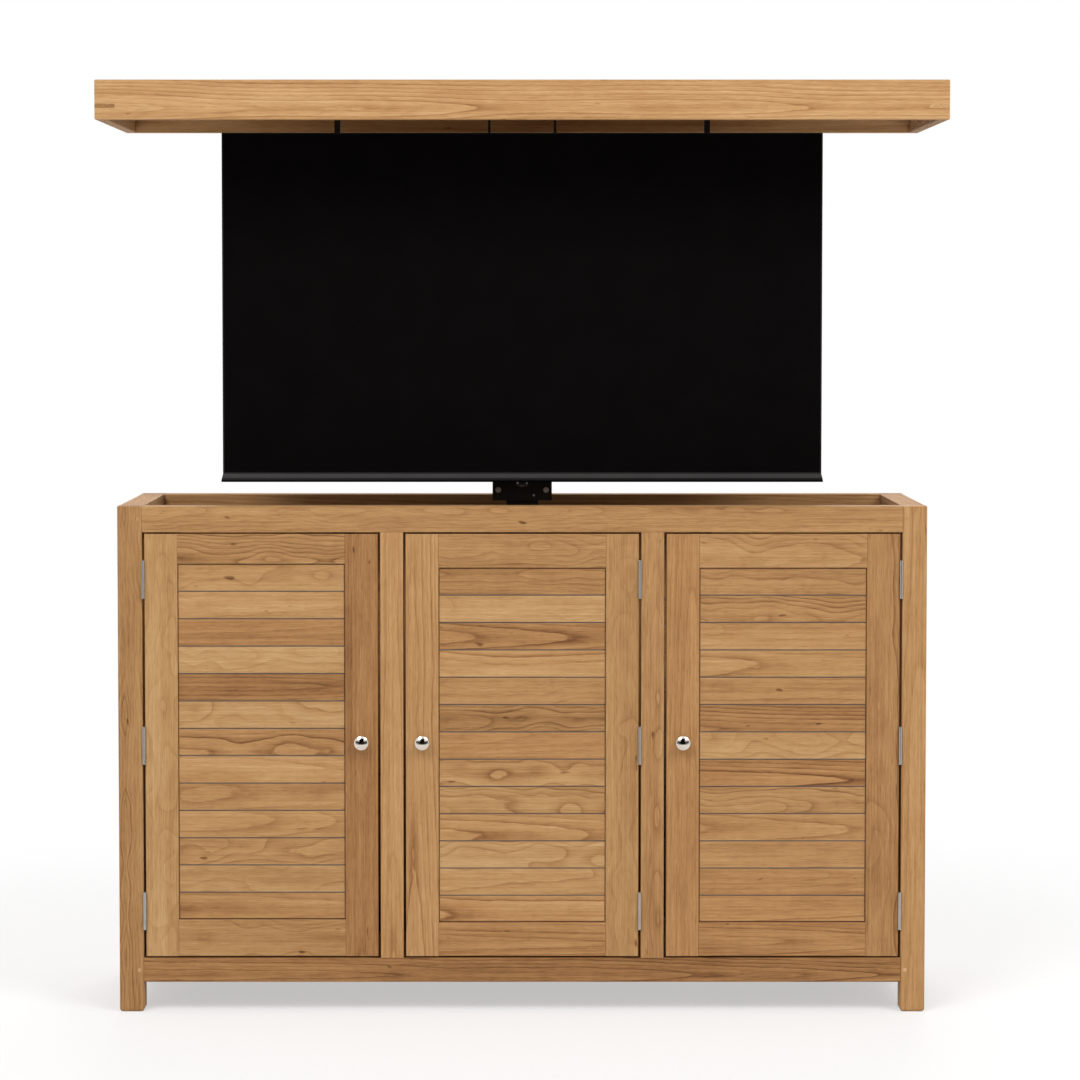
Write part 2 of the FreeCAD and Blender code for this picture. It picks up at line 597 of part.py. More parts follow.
# ----------------------------------------------------------------------- the doors
class Door:
    """One framed and slatted door with its hinges and knob.

    hinge is -1 for a door hung on its left edge and +1 for one hung on its right.
    """

    def __init__(self, name, bay, hinge, top_rail, bottom_rail):
        self.name = name
        self.hinge = hinge
        self.bay = (BAY_STARTS[bay], BAY_STARTS[bay] + BAY_WIDTH)
        self.x0 = self.bay[0] + DOOR_SIDE_GAP
        self.x1 = self.bay[1] - DOOR_SIDE_GAP
        self.panel_top = DOOR_TOP - top_rail
        self.panel_bottom = DOOR_BOTTOM + bottom_rail
        self.frame_edge = self.bay[0] if hinge < 0 else self.bay[1]
        self.knob_x = (self.x1 - DOOR_STILE_WIDTH / 2 if hinge < 0
                       else self.x0 + DOOR_STILE_WIDTH / 2)
        slat_front = DOOR_FRONT + DOOR_SLAT_SETBACK
        self.slat_front = slat_front
        self.groove = (slat_front + GROOVE_NEAR, slat_front + GROOVE_FAR)

    def panel_groove(self):
        """One cutter for the groove that runs round the inside of the frame."""
        return box(self.x0 + DOOR_STILE_WIDTH - GROOVE_DEPTH,
                   self.x1 - DOOR_STILE_WIDTH + GROOVE_DEPTH, *self.groove,
                   self.panel_bottom - GROOVE_DEPTH, self.panel_top + GROOVE_DEPTH)

    def rail_tenons(self, z0, z1):
        """Stub tenons, as block limits, at both ends of a rail from z0 to z1."""
        left = self.x0 + DOOR_STILE_WIDTH
        right = self.x1 - DOOR_STILE_WIDTH
        middle = (self.groove[0] + self.groove[1]) / 2
        y = (middle - TENON_THICKNESS / 2, middle + TENON_THICKNESS / 2)
        z = (z0 + TENON_SHOULDER, z1 - TENON_SHOULDER)
        return ((left - DOOR_TENON_LENGTH, left, *y, *z),
                (right, right + DOOR_TENON_LENGTH, *y, *z))

    def rail_spans(self):
        """The height span of each rail's solid part, clear of the slat groove."""
        return ((DOOR_BOTTOM, self.panel_bottom), (self.panel_top, DOOR_TOP))

    def tenon_spans(self):
        """The height span that carries each rail's tenons, clear of the groove."""
        return ((DOOR_BOTTOM, self.panel_bottom - GROOVE_DEPTH + TENON_SHOULDER),
                (self.panel_top + GROOVE_DEPTH - TENON_SHOULDER, DOOR_TOP))

    def stiles(self):
        """The two uprights, grooved, mortised and drilled for the knob."""
        made = []
        for x0 in (self.x0, self.x1 - DOOR_STILE_WIDTH):
            stile = board(x0, x0 + DOOR_STILE_WIDTH, DOOR_FRONT, DOOR_BACK,
                          DOOR_BOTTOM, DOOR_TOP, 2, DOOR_EASE)
            stile = stile.cut(self.panel_groove())
            for span in self.tenon_spans():
                for limits, away in zip(self.rail_tenons(*span), (-1, 1)):
                    stile = stile.cut(mortise(limits, 0, away))
            hole = rod(KNOB_STUD_RADIUS + KNOB_STUD_CLEARANCE, self.knob_x,
                       DOOR_FRONT - 1, KNOB_HEIGHT, DOOR_THICKNESS + 2, Vector(0, 1, 0))
            made.append(one_solid(stile.cut(hole)))
        return made

    def rails(self):
        """The bottom and top rails."""
        made = []
        for span, tenon_span in zip(self.rail_spans(), self.tenon_spans()):
            rail = board(self.x0 + DOOR_STILE_WIDTH, self.x1 - DOOR_STILE_WIDTH,
                         DOOR_FRONT, DOOR_BACK, *span, 0, DOOR_EASE)
            rail = rail.cut(self.panel_groove())
            rail = rail.fuse([box(*t) for t in self.rail_tenons(*tenon_span)])
            made.append(one_solid(rail))
        return made

    def slats(self):
        """The horizontal tongued boards that fill the frame."""
        return slats(self.x0 + DOOR_STILE_WIDTH, self.x1 - DOOR_STILE_WIDTH,
                     self.slat_front, 1, self.panel_bottom, self.panel_top,
                     DOOR_SLATS, along_x=True)

    def knob(self):
        """A mushroom knob turned on its stud, and the nut behind the stile."""
        y = DOOR_FRONT
        tip = DOOR_BACK + KNOB_NUT_HEIGHT + KNOB_STUD_PAST_NUT
        face = y - KNOB_REACH
        rim = face + KNOB_CROWN
        under = rim + KNOB_RIM_HEIGHT
        corner = KNOB_RADIUS - KNOB_RIM_ROUND
        crown_radius = (corner ** 2 + KNOB_CROWN ** 2) / (2 * KNOB_CROWN)
        half_angle = math.asin(corner / crown_radius) / 2
        crown_middle = (crown_radius * math.sin(half_angle),
                        face + crown_radius * (1 - math.cos(half_angle)))
        outline = [("line", (0, tip), (KNOB_STUD_RADIUS, tip)),
                   ("line", (KNOB_STUD_RADIUS, tip), (KNOB_STUD_RADIUS, y)),
                   ("line", (KNOB_STUD_RADIUS, y), (KNOB_BASE_RADIUS, y)),
                   ("line", (KNOB_BASE_RADIUS, y), (KNOB_BASE_RADIUS, y - KNOB_BASE_LIP)),
                   ("line", (KNOB_BASE_RADIUS, y - KNOB_BASE_LIP),
                    (KNOB_NECK_RADIUS, y - 3 * KNOB_BASE_LIP)),
                   ("line", (KNOB_NECK_RADIUS, y - 3 * KNOB_BASE_LIP),
                    (KNOB_NECK_RADIUS, under)),
                   ("line", (KNOB_NECK_RADIUS, under), (corner, under)),
                   ("line", (corner, under), (KNOB_RADIUS, under - KNOB_RIM_ROUND)),
                   ("line", (KNOB_RADIUS, under - KNOB_RIM_ROUND),
                    (KNOB_RADIUS, rim + KNOB_RIM_ROUND)),
                   ("line", (KNOB_RADIUS, rim + KNOB_RIM_ROUND), (corner, rim)),
                   ("arc", (corner, rim), crown_middle, (0, face)),
                   ("line", (0, face), (0, tip))]
        knob = turned(outline, Vector(0, 1, 0))
        corners = [Vector(KNOB_NUT_RADIUS * math.cos(math.radians(60 * i)), DOOR_BACK,
                          KNOB_NUT_RADIUS * math.sin(math.radians(60 * i)))
                   for i in range(6)]
        nut = prism(corners, Vector(0, KNOB_NUT_HEIGHT, 0))
        nut = nut.cut(rod(KNOB_STUD_RADIUS + KNOB_STUD_CLEARANCE, 0, DOOR_BACK - 1, 0,
                          KNOB_NUT_HEIGHT + 2, Vector(0, 1, 0)))
        place = Vector(self.knob_x, 0, KNOB_HEIGHT)
        return [knob.translated(place), nut.translated(place)]

    def axis_point(self):
        """The hinge axis, as x and y."""
        return (self.frame_edge - self.hinge * DOOR_SIDE_GAP / 2,
                DOOR_FRONT - HINGE_PROUD)

    def hinge_bottoms(self):
        """The lower end of each of the three hinges."""
        low = DOOR_BOTTOM + HINGE_INSET
        high = DOOR_TOP - HINGE_INSET - HINGE_HEIGHT
        return (low, (low + high) / 2, high)

    def leaf(self, bottom, on_door):
        """One hinge leaf: a plate on the gap's side, with its share of the knuckles."""
        x, y = self.axis_point()
        side = -self.hinge if on_door else self.hinge
        outer = x + side * DOOR_SIDE_GAP / 2
        inner = outer - side * HINGE_LEAF
        x0, x1 = min(outer, inner), max(outer, inner)
        leaf = box(x0, x1, DOOR_FRONT, DOOR_FRONT + HINGE_LEAF_DEPTH,
                   bottom, bottom + HINGE_HEIGHT)
        step = HINGE_HEIGHT / KNUCKLES
        for i in range(1 if on_door else 0, KNUCKLES, 2):
            z0 = bottom + i * step + KNUCKLE_GAP / 2
            height = step - KNUCKLE_GAP
            leaf = leaf.fuse([rod(KNUCKLE_RADIUS, x, y, z0, height),
                              box(x0, x1, y, DOOR_FRONT + 1, z0, z0 + height)])
        bore = rod(HINGE_PIN_RADIUS + HINGE_PIN_CLEARANCE, x, y, bottom - 1,
                   HINGE_HEIGHT + 2)
        return one_solid(leaf.cut(bore))

    def leaves(self, on_door):
        """The three leaves on the door, or the three on the frame."""
        return [self.leaf(z, on_door) for z in self.hinge_bottoms()]

    def pins(self):
        """The three hinge pins."""
        x, y = self.axis_point()
        return [rod(HINGE_PIN_RADIUS, x, y, z, HINGE_HEIGHT) for z in self.hinge_bottoms()]

    def catch(self):
        """The magnetic catch under the top rail, which also stops the door."""
        lock_edge = self.x1 if self.hinge < 0 else self.x0
        middle = lock_edge + self.hinge * CATCH_FROM_LOCK
        y0 = DOOR_BACK + CATCH_CLEARANCE
        body = box(middle - CATCH_WIDTH / 2, middle + CATCH_WIDTH / 2, y0,
                   y0 + CATCH_DEPTH, OPENING_TOP - CATCH_HEIGHT, OPENING_TOP)
        return body.makeChamfer(CATCH_EASE, long_edges(body, 2))


DOORS = (
    Door("left_door", 0, -1, 60.0, 74.0),
    Door("centre_door", 1, 1, 68.0, 68.0),
    Door("right_door", 2, 1, 68.0, 68.0),
)


# ------------------------------------------------------------------------- the lid
def key_triangle(grow=0.0):
    """The front-left corner key, a slip let into a kerf across the mitre."""
    z = LID_BOTTOM + LID_KEY_ABOVE_EDGE - LID_KEY_THICKNESS / 2
    x, y = -LID_HALF_WIDTH - grow, -LID_HALF_DEPTH - grow
    reach = LID_KEY_LEG + grow
    points = [Vector(x, y, z), Vector(x + reach + grow, y, z), Vector(x, y + reach + grow, z)]
    return prism(points, Vector(0, 0, LID_KEY_THICKNESS))


def lid_corner_keys():
    """A key in each of the four mitred corners."""
    key = key_triangle()
    pair = [key, mirror_x(key)]
    return pair + [mirror_y(k) for k in pair]


def mitred_rail(along_x):
    """The front lid rail, or the left one, mitred at both ends and cut for its keys."""
    w, d, t = LID_HALF_WIDTH, LID_HALF_DEPTH, LID_RAIL_THICKNESS
    if along_x:
        rail = board(-w, w, -d, -d + t, LID_BOTTOM, LID_TOP, 0, LID_EASE)
        outline = [(-w, -d), (w, -d), (w - t, -d + t), (-w + t, -d + t)]
    else:
        rail = board(-w, -w + t, -d, d, LID_BOTTOM, LID_TOP, 1, LID_EASE)
        outline = [(-w, -d), (-w, d), (-w + t, d - t), (-w + t, -d + t)]
    rail = rail.common(prism([Vector(x, y, LID_BOTTOM) for x, y in outline],
                             Vector(0, 0, LID_HEIGHT)))
    key = key_triangle(grow=1.0)
    rail = rail.cut([key, mirror_x(key) if along_x else mirror_y(key)])
    return one_solid(rail)


def lid_top_boards():
    """The boards between the rails, flush with their top."""
    half = LID_HALF_DEPTH - LID_RAIL_THICKNESS
    width = (2 * half - (LID_BOARDS - 1) * BOARD_GAP) / LID_BOARDS
    end = LID_HALF_WIDTH - LID_RAIL_THICKNESS
    made = []
    for i in range(LID_BOARDS):
        y0 = -half + i * (width + BOARD_GAP)
        made.append(board(-end, end, y0, y0 + width, LID_TOP - LID_BOARD_THICKNESS,
                          LID_TOP, 0, LID_EASE))
    return made


def lid_battens():
    """Battens under the boards: one over each pair of uprights and one near each end."""
    half = LID_HALF_DEPTH - LID_RAIL_THICKNESS
    places = [(x, LID_BATTEN_WIDTH) for x in
              (-LID_END_BATTEN_X, -OUTER_UPRIGHT_X, OUTER_UPRIGHT_X, LID_END_BATTEN_X)]
    places.append((0.0, LID_MIDDLE_BATTEN_WIDTH))
    return [board(x - w / 2, x + w / 2, -half, half, BATTEN_BOTTOM,
                  BATTEN_BOTTOM + LID_BATTEN_THICKNESS, 1, RAIL_EASE) for x, w in places]


# ------------------------------------------------------------------ the lift column
def lift_base_plate():
    """The foot of the lift, screwed to the floor boards."""
    plate = box(-BASE_PLATE_LEFT, BASE_PLATE_RIGHT, COLUMN_Y - BASE_PLATE_DEPTH / 2,
                COLUMN_Y + BASE_PLATE_DEPTH / 2, FLOOR_TOP, GEARBOX_BOTTOM)
    return one_solid(plate.makeFillet(10.0, long_edges(plate, 2)))


def lift_gearbox():
    """The worm gearbox under the column, bored for the lower spindle."""
    half = GEARBOX_SIDE / 2
    block = box(-half, half, COLUMN_Y - half, COLUMN_Y + half, GEARBOX_BOTTOM,
                OUTER_TUBE_BOTTOM)
    block = block.makeFillet(GEARBOX_ROUND, long_edges(block, 2))
    seat = rod(LOWER_SPINDLE_RADIUS + SPINDLE_CLEARANCE, 0, COLUMN_Y,
               OUTER_TUBE_BOTTOM - SPINDLE_SEAT_DEPTH, SPINDLE_SEAT_DEPTH + 1)
    return one_solid(block.cut(seat))


def lift_motor():
    """The motor, lying on its side against the gearbox, with a stepped end cap."""
    x0 = GEARBOX_SIDE / 2
    z = GEARBOX_BOTTOM + MOTOR_RADIUS + GLIDE_CLEARANCE
    along = Vector(1, 0, 0)
    can = rod(MOTOR_RADIUS, x0 + MOTOR_CAP, COLUMN_Y, z, MOTOR_LENGTH - 2 * MOTOR_CAP, along)
    flange = rod(MOTOR_RADIUS - MOTOR_CAP_STEP, x0, COLUMN_Y, z, MOTOR_CAP, along)
    cap = rod(MOTOR_RADIUS - MOTOR_CAP_STEP, x0 + MOTOR_LENGTH - MOTOR_CAP, COLUMN_Y, z,
              MOTOR_CAP, along)
    return one_solid(can.fuse([flange, cap]))


def lift_control_box():
    """The control box on the cabinet floor, its upper edges chamfered."""
    length, depth, height = CONTROL_BOX
    back = INNER_Y - CONTROL_BOX_FROM_WALL
    case = box(CONTROL_BOX_X - length / 2, CONTROL_BOX_X + length / 2,
               back - depth, back, FLOOR_TOP, FLOOR_TOP + height)
    top = [e for e in case.Edges
           if all(abs(v.Z - FLOOR_TOP - height) < 1e-6 for v in e.Vertexes)]
    return one_solid(case.makeChamfer(CONTROL_BOX_EASE, long_edges(case, 2) + top))


def glides(half, thickness, z0):
    """Four pads round the column at height z0, their backs at half from its middle.

    A positive thickness builds outwards from there and a negative one inwards.
    """
    near, far = sorted((half, half + thickness))
    pad = box(near, far, -GLIDE_WIDTH / 2, GLIDE_WIDTH / 2, z0, z0 + GLIDE_HEIGHT)
    pads = []
    for i in range(4):
        turned = pad.rotated(Vector(0, 0, 0), Vector(0, 0, 1), 90 * i)
        pads.append(turned.translated(Vector(0, COLUMN_Y, 0)))
    return pads


def tube_gap(outside, inside):
    """The room for a glide between two tubes of the column, less its running gap."""
    return (outside / 2 - TUBE_WALL) - inside / 2 - GLIDE_CLEARANCE


def end_plate(tube, z0, thickness, bore):
    """A square plate inside a tube, bored for the spindle or its nut."""
    half = tube / 2 - TUBE_WALL
    plate = box(-half, half, COLUMN_Y - half, COLUMN_Y + half, z0, z0 + thickness)
    plate = plate.makeFillet(TUBE_CORNER - TUBE_WALL, long_edges(plate, 2))
    return plate.cut(rod(bore, 0, COLUMN_Y, z0 - 1, thickness + 2))


def nut(radius, bore, z0):
    """A round spindle nut."""
    body = rod(radius, 0, COLUMN_Y, z0, NUT_HEIGHT)
    return body.cut(rod(bore, 0, COLUMN_Y, z0 - 1, NUT_HEIGHT + 2))


HUB_BOTTOM = MIDDLE_BOTTOM + END_PLATE + NUT_HEIGHT + HUB_CLEARANCE
BEARING_BOTTOM = HUB_BOTTOM + HUB_HEIGHT + HUB_CLEARANCE


def lower_spindle():
    """The screw that turns in the gearbox and raises the middle tube."""
    bottom = OUTER_TUBE_BOTTOM - SPINDLE_SEAT_DEPTH + SPINDLE_CLEARANCE
    return rod(LOWER_SPINDLE_RADIUS, 0, COLUMN_Y, bottom,
               MIDDLE_BOTTOM + LOWER_SPINDLE_OVERRUN - bottom)


def upper_spindle():
    """The hollow screw on the middle tube that raises the inner tube."""
    top = INNER_BOTTOM + END_PLATE + NUT_HEIGHT + SPINDLE_OVERRUN
    hub = rod(HUB_RADIUS, 0, COLUMN_Y, HUB_BOTTOM, HUB_HEIGHT)
    screw = rod(UPPER_SPINDLE_RADIUS, 0, COLUMN_Y, HUB_BOTTOM, top - HUB_BOTTOM)
    bore = rod(UPPER_SPINDLE_BORE, 0, COLUMN_Y, HUB_BOTTOM - 1, top - HUB_BOTTOM + 2)
    return one_solid(hub.fuse(screw).cut(bore))


def middle_tube_fittings():
    """The middle tube's end plate, spindle nut, bearing plate and glides."""
    running = LOWER_SPINDLE_RADIUS + SPINDLE_CLEARANCE
    solids = [end_plate(MIDDLE_TUBE, MIDDLE_BOTTOM, END_PLATE, running),
              nut(LOWER_NUT_RADIUS, running, MIDDLE_BOTTOM + END_PLATE),
              end_plate(MIDDLE_TUBE, BEARING_BOTTOM, BEARING_PLATE,
                        UPPER_SPINDLE_RADIUS + SPINDLE_CLEARANCE)]
    solids += glides(MIDDLE_TUBE / 2, tube_gap(OUTER_TUBE, MIDDLE_TUBE),
                     MIDDLE_BOTTOM + GLIDE_END)
    solids += glides(MIDDLE_TUBE / 2 - TUBE_WALL, -tube_gap(MIDDLE_TUBE, INNER_TUBE),
                     MIDDLE_TOP - GLIDE_END - GLIDE_HEIGHT)
    return solids


def inner_tube_fittings():
    """The inner tube's end plate, spindle nut and glides."""
    running = UPPER_SPINDLE_RADIUS + SPINDLE_CLEARANCE
    solids = [end_plate(INNER_TUBE, INNER_BOTTOM, END_PLATE, running),
              nut(UPPER_NUT_RADIUS, running, INNER_BOTTOM + END_PLATE)]
    solids += glides(INNER_TUBE / 2, tube_gap(MIDDLE_TUBE, INNER_TUBE),
                     INNER_BOTTOM + GLIDE_END)
    return solids


# --------------------------------------------------------------------- the carriage
def lift_head():
    """The plate on the inner tube's top that carries the mount plate."""
    half = MOUNT_HEAD_WIDTH / 2
    back = COLUMN_Y + INNER_TUBE / 2 + HEAD_PLATE_OVERHANG
    plate = box(-half, half, MOUNT_BACK, back, INNER_TOP, HEAD_TOP)
    corners = [e for e in long_edges(plate, 2) if e.Vertexes[0].Y > COLUMN_Y]
    return one_solid(plate.makeFillet(HEAD_PLATE_ROUND, corners))


def tv_mount_plate():
    """The long plate in front of the column, wider at its head."""
    low, high = MOUNT_PLATE_WIDTH / 2, MOUNT_HEAD_WIDTH / 2
    top = HEAD_TOP + MOUNT_PLATE_RISE
    step = top - MOUNT_HEAD_HEIGHT
    outline = [(-low, MOUNT_PLATE_BOTTOM), (low, MOUNT_PLATE_BOTTOM), (low, step),
               (high, step + high - low), (high, top), (-high, top),
               (-high, step + high - low), (-low, step)]
    plate = prism([Vector(x, MOUNT_FRONT, z) for x, z in outline],
                  Vector(0, MOUNT_PLATE_THICKNESS, 0))
    for z in MOUNT_SLOT_HEIGHTS:
        slot = slot_cutter(MOUNT_SLOT_RADIUS, MOUNT_SLOT_X, MOUNT_PLATE_BOTTOM + z,
                           MOUNT_SLOT_LENGTH)
        plate = plate.cut([slot, mirror_x(slot)])
    return one_solid(plate)


def slot_cutter(radius, x, z, length):
    """An upright slot with round ends, through the mount plate."""
    y = MOUNT_FRONT - 1
    through = MOUNT_PLATE_THICKNESS + 2
    ends = [rod(radius, x, y, height, through, Vector(0, 1, 0))
            for height in (z + radius, z + length - radius)]
    middle = box(x - radius, x + radius, y, y + through, z + radius, z + length - radius)
    return middle.fuse(ends)


def channel(width, depth, wall):
    """A folded channel's section as (across, deep) pairs, open at the far side."""
    half = width / 2
    return [(-half, depth), (-half, 0), (half, 0), (half, depth), (half - wall, depth),
            (half - wall, wall), (-half + wall, wall), (-half + wall, depth)]


def tv_bracket():
    """Two folded rails across the mount plate and two arms hooked over them."""
    length, depth, height = BRACKET_RAIL
    width, arm_depth, arm_height = BRACKET_ARM
    made = []
    for side in (-1, 1):
        z = VESA_CENTRE + side * VESA_HEIGHT / 2
        section = [Vector(-length / 2, ARM_BACK + d, z + a)
                   for a, d in channel(height, depth, BRACKET_WALL)]
        made.append(prism(section, Vector(length, 0, 0)))
    for side in (-1, 1):
        x = side * VESA_WIDTH / 2
        section = [Vector(x + a, TV_BACK + d, VESA_CENTRE - arm_height / 2)
                   for a, d in channel(width, arm_depth + BRACKET_HOOK, BRACKET_WALL)]
        arm = prism(section, Vector(0, 0, arm_height))
        for rail_side in (-1, 1):
            z = VESA_CENTRE + rail_side * VESA_HEIGHT / 2
            seat = height / 2 + BRACKET_SEAT_CLEARANCE
            bottom = z - seat if rail_side > 0 else VESA_CENTRE - arm_height
            arm = arm.cut(box(x - width, x + width, ARM_BACK, MOUNT_FRONT, bottom, z + seat))
        arm = arm.cut(box(x - width, x + width, ARM_BACK, MOUNT_FRONT,
                          VESA_CENTRE - VESA_HEIGHT / 2, VESA_CENTRE))
        made.append(one_solid(arm))
    return made


def lid_crossbar():
    """The square tube on the head plate that carries the lid's uprights."""
    half = CROSSBAR_LENGTH / 2
    s, w = CROSSBAR_SIDE, CROSSBAR_WALL
    outer = box(-half, half, MOUNT_BACK, MOUNT_BACK + s, HEAD_TOP, HEAD_TOP + s)
    inner = box(-half - 1, half + 1, MOUNT_BACK + w, MOUNT_BACK + s - w,
                HEAD_TOP + w, HEAD_TOP + s - w)
    return outer.cut(inner)


def lid_uprights():
    """Four flat bars from the crossbar to the lid, each with a foot plate on top."""
    made = []
    middle = MOUNT_BACK + CROSSBAR_SIDE / 2
    y0, y1 = middle - UPRIGHT_DEPTH / 2, middle + UPRIGHT_DEPTH / 2
    length, depth, thickness = UPRIGHT_FOOT
    for place, width in ((OUTER_UPRIGHT_X, OUTER_UPRIGHT), (INNER_UPRIGHT_X, INNER_UPRIGHT)):
        bar = box(place - width / 2, place + width / 2, y0, y1,
                  HEAD_TOP + CROSSBAR_SIDE, BATTEN_BOTTOM)
        foot = box(place - width / 2, place - width / 2 + length / 2, middle - depth / 2,
                   middle + depth / 2, BATTEN_BOTTOM - thickness, BATTEN_BOTTOM)
        upright = one_solid(bar.fuse(foot))
        made += [upright, mirror_x(upright)]
    return made


# ------------------------------------------------------------------- the television
def tv_bezel():
    """The slim frame round the screen, open at the back."""
    half, w = TV_WIDTH / 2, TV_BEZEL_WALL
    outer = box(-half, half, TV_FRONT, TV_FRAME_BACK, CHIN_TOP, TV_TOP)
    outer = outer.makeChamfer(TV_BEZEL_EASE, long_edges(outer, 1))
    inner = box(-half + w, half - w, TV_FRONT - 1, TV_FRAME_BACK + 1, CHIN_TOP + w,
                TV_TOP - w)
    return one_solid(outer.cut(inner))


def tv_screen():
    """The display panel inside the bezel."""
    half = TV_WIDTH / 2 - TV_BEZEL_WALL - TV_FIT
    y0 = TV_FRONT + TV_SCREEN_RECESS
    return box(-half, half, y0, y0 + TV_SCREEN_THICKNESS,
               CHIN_TOP + TV_BEZEL_WALL + TV_FIT, TV_TOP - TV_BEZEL_WALL - TV_FIT)


def tv_cover_form(inset):
    """The back cover's outside at inset 0, or its inside at the wall's thickness."""
    half = TV_WIDTH / 2 - inset
    front = TV_FRAME_BACK
    slim = front + TV_BACK_SLIM - inset
    slab = box(-half, half, front - (1 if inset else 0), slim, TV_BOTTOM + inset,
               TV_TOP - inset)
    low = TV_BOTTOM + TV_BULGE_RISE
    wires = []
    for y, shrink in ((slim - 1, inset), (TV_BACK - inset, inset + TV_BULGE_TAPER)):
        x = TV_BULGE_WIDTH / 2 - shrink
        z0, z1 = low + shrink, low + TV_BULGE_HEIGHT - shrink
        corners = [Vector(-x, y, z0), Vector(x, y, z0), Vector(x, y, z1), Vector(-x, y, z1)]
        wires.append(Part.makePolygon([*corners, corners[0]]))
    return slab.fuse(Part.makeLoft(wires, True, True))


def tv_port_bay(wall):
    """The bay for the sockets, sunk in the bulge: its hollow at wall 0, or its pan."""
    width, height, depth = TV_PORTS
    return box(TV_PORTS_X - width / 2 - wall, TV_PORTS_X + width / 2 + wall,
               TV_BACK - depth - wall, TV_BACK + 1, VESA_CENTRE - height / 2 - wall,
               VESA_CENTRE + height / 2 + wall)


def tv_rear_cover():
    """The thin moulded back with its bulge for the electronics."""
    inside = tv_cover_form(TV_BACK_WALL).cut(tv_port_bay(TV_BACK_WALL))
    cover = tv_cover_form(0.0).cut([inside, tv_port_bay(0.0)])
    top = TV_BOTTOM + TV_BULGE_RISE + TV_BULGE_HEIGHT - TV_BULGE_TAPER - TV_VENT_FROM_EDGE
    vents = [box(x - TV_VENT[0] / 2, x + TV_VENT[0] / 2, TV_BACK - 2 * TV_BACK_WALL,
                 TV_BACK + 1, top - TV_VENT[1], top)
             for side in (-1, 1)
             for x in [side * (TV_VENT_START + i * TV_VENT_PITCH) for i in range(TV_VENTS)]]
    return one_solid(cover.cut(vents))


def tv_chin():
    """The trim under the screen: it leans forward and flares to its lip."""
    half = TV_WIDTH / 2
    wide = half + TV_CHIN_FLARE
    back, front = TV_FRAME_BACK, TV_FRONT
    lip = TV_BOTTOM + TV_CHIN_LIP
    wires = []
    for x, y, z in ((half, front, CHIN_TOP), (wide, front - TV_CHIN_PROUD, lip)):
        corners = [Vector(-x, y, z), Vector(x, y, z), Vector(x, back, z), Vector(-x, back, z)]
        wires.append(Part.makePolygon([*corners, corners[0]]))
    slope = Part.makeLoft(wires, True, True)
    foot = box(-wide, wide, front - TV_CHIN_PROUD, back, TV_BOTTOM, lip)
    foot = foot.makeChamfer(TV_CHIN_EASE, [e for e in long_edges(foot, 0)
                                  if e.Vertexes[0].Z < TV_BOTTOM + 0.1
                                  and e.Vertexes[0].Y < front])
    return one_solid(slope.fuse(foot))


def tv_sensor_pod():
    """The receiver pod under the chin, bored from below for the power button."""
    y = POD_FRONT
    half = TV_POD_WIDTH / 2
    outline = [(-half, TV_BOTTOM), (half, TV_BOTTOM), (half - TV_POD_TAPER, POD_BOTTOM),
               (-half + TV_POD_TAPER, POD_BOTTOM)]
    pod = prism([Vector(x, y, z) for x, z in outline], Vector(0, TV_POD_DEPTH, 0))
    pod = pod.makeFillet(TV_POD_ROUND, [e for e in long_edges(pod, 1)
                                        if e.Vertexes[0].Z < TV_BOTTOM - 1])
    depth = TV_BUTTON_LENGTH - TV_BUTTON_PROUD + TV_BUTTON_TRAVEL + TV_FIT
    well = rod(TV_BUTTON_RADIUS + TV_FIT, 0, y + TV_POD_DEPTH / 2, POD_BOTTOM - 1, depth + 1)
    return one_solid(pod.cut(well))


def tv_power_button():
    """The push button in the pod."""
    y = POD_FRONT + TV_POD_DEPTH / 2
    button = rod(TV_BUTTON_RADIUS, 0, y, POD_BOTTOM - TV_BUTTON_PROUD, TV_BUTTON_LENGTH)
    rim = [e for e in button.Edges if e.Closed and e.BoundBox.ZMax < POD_BOTTOM]
    return button.makeChamfer(TV_BUTTON_EASE, rim)


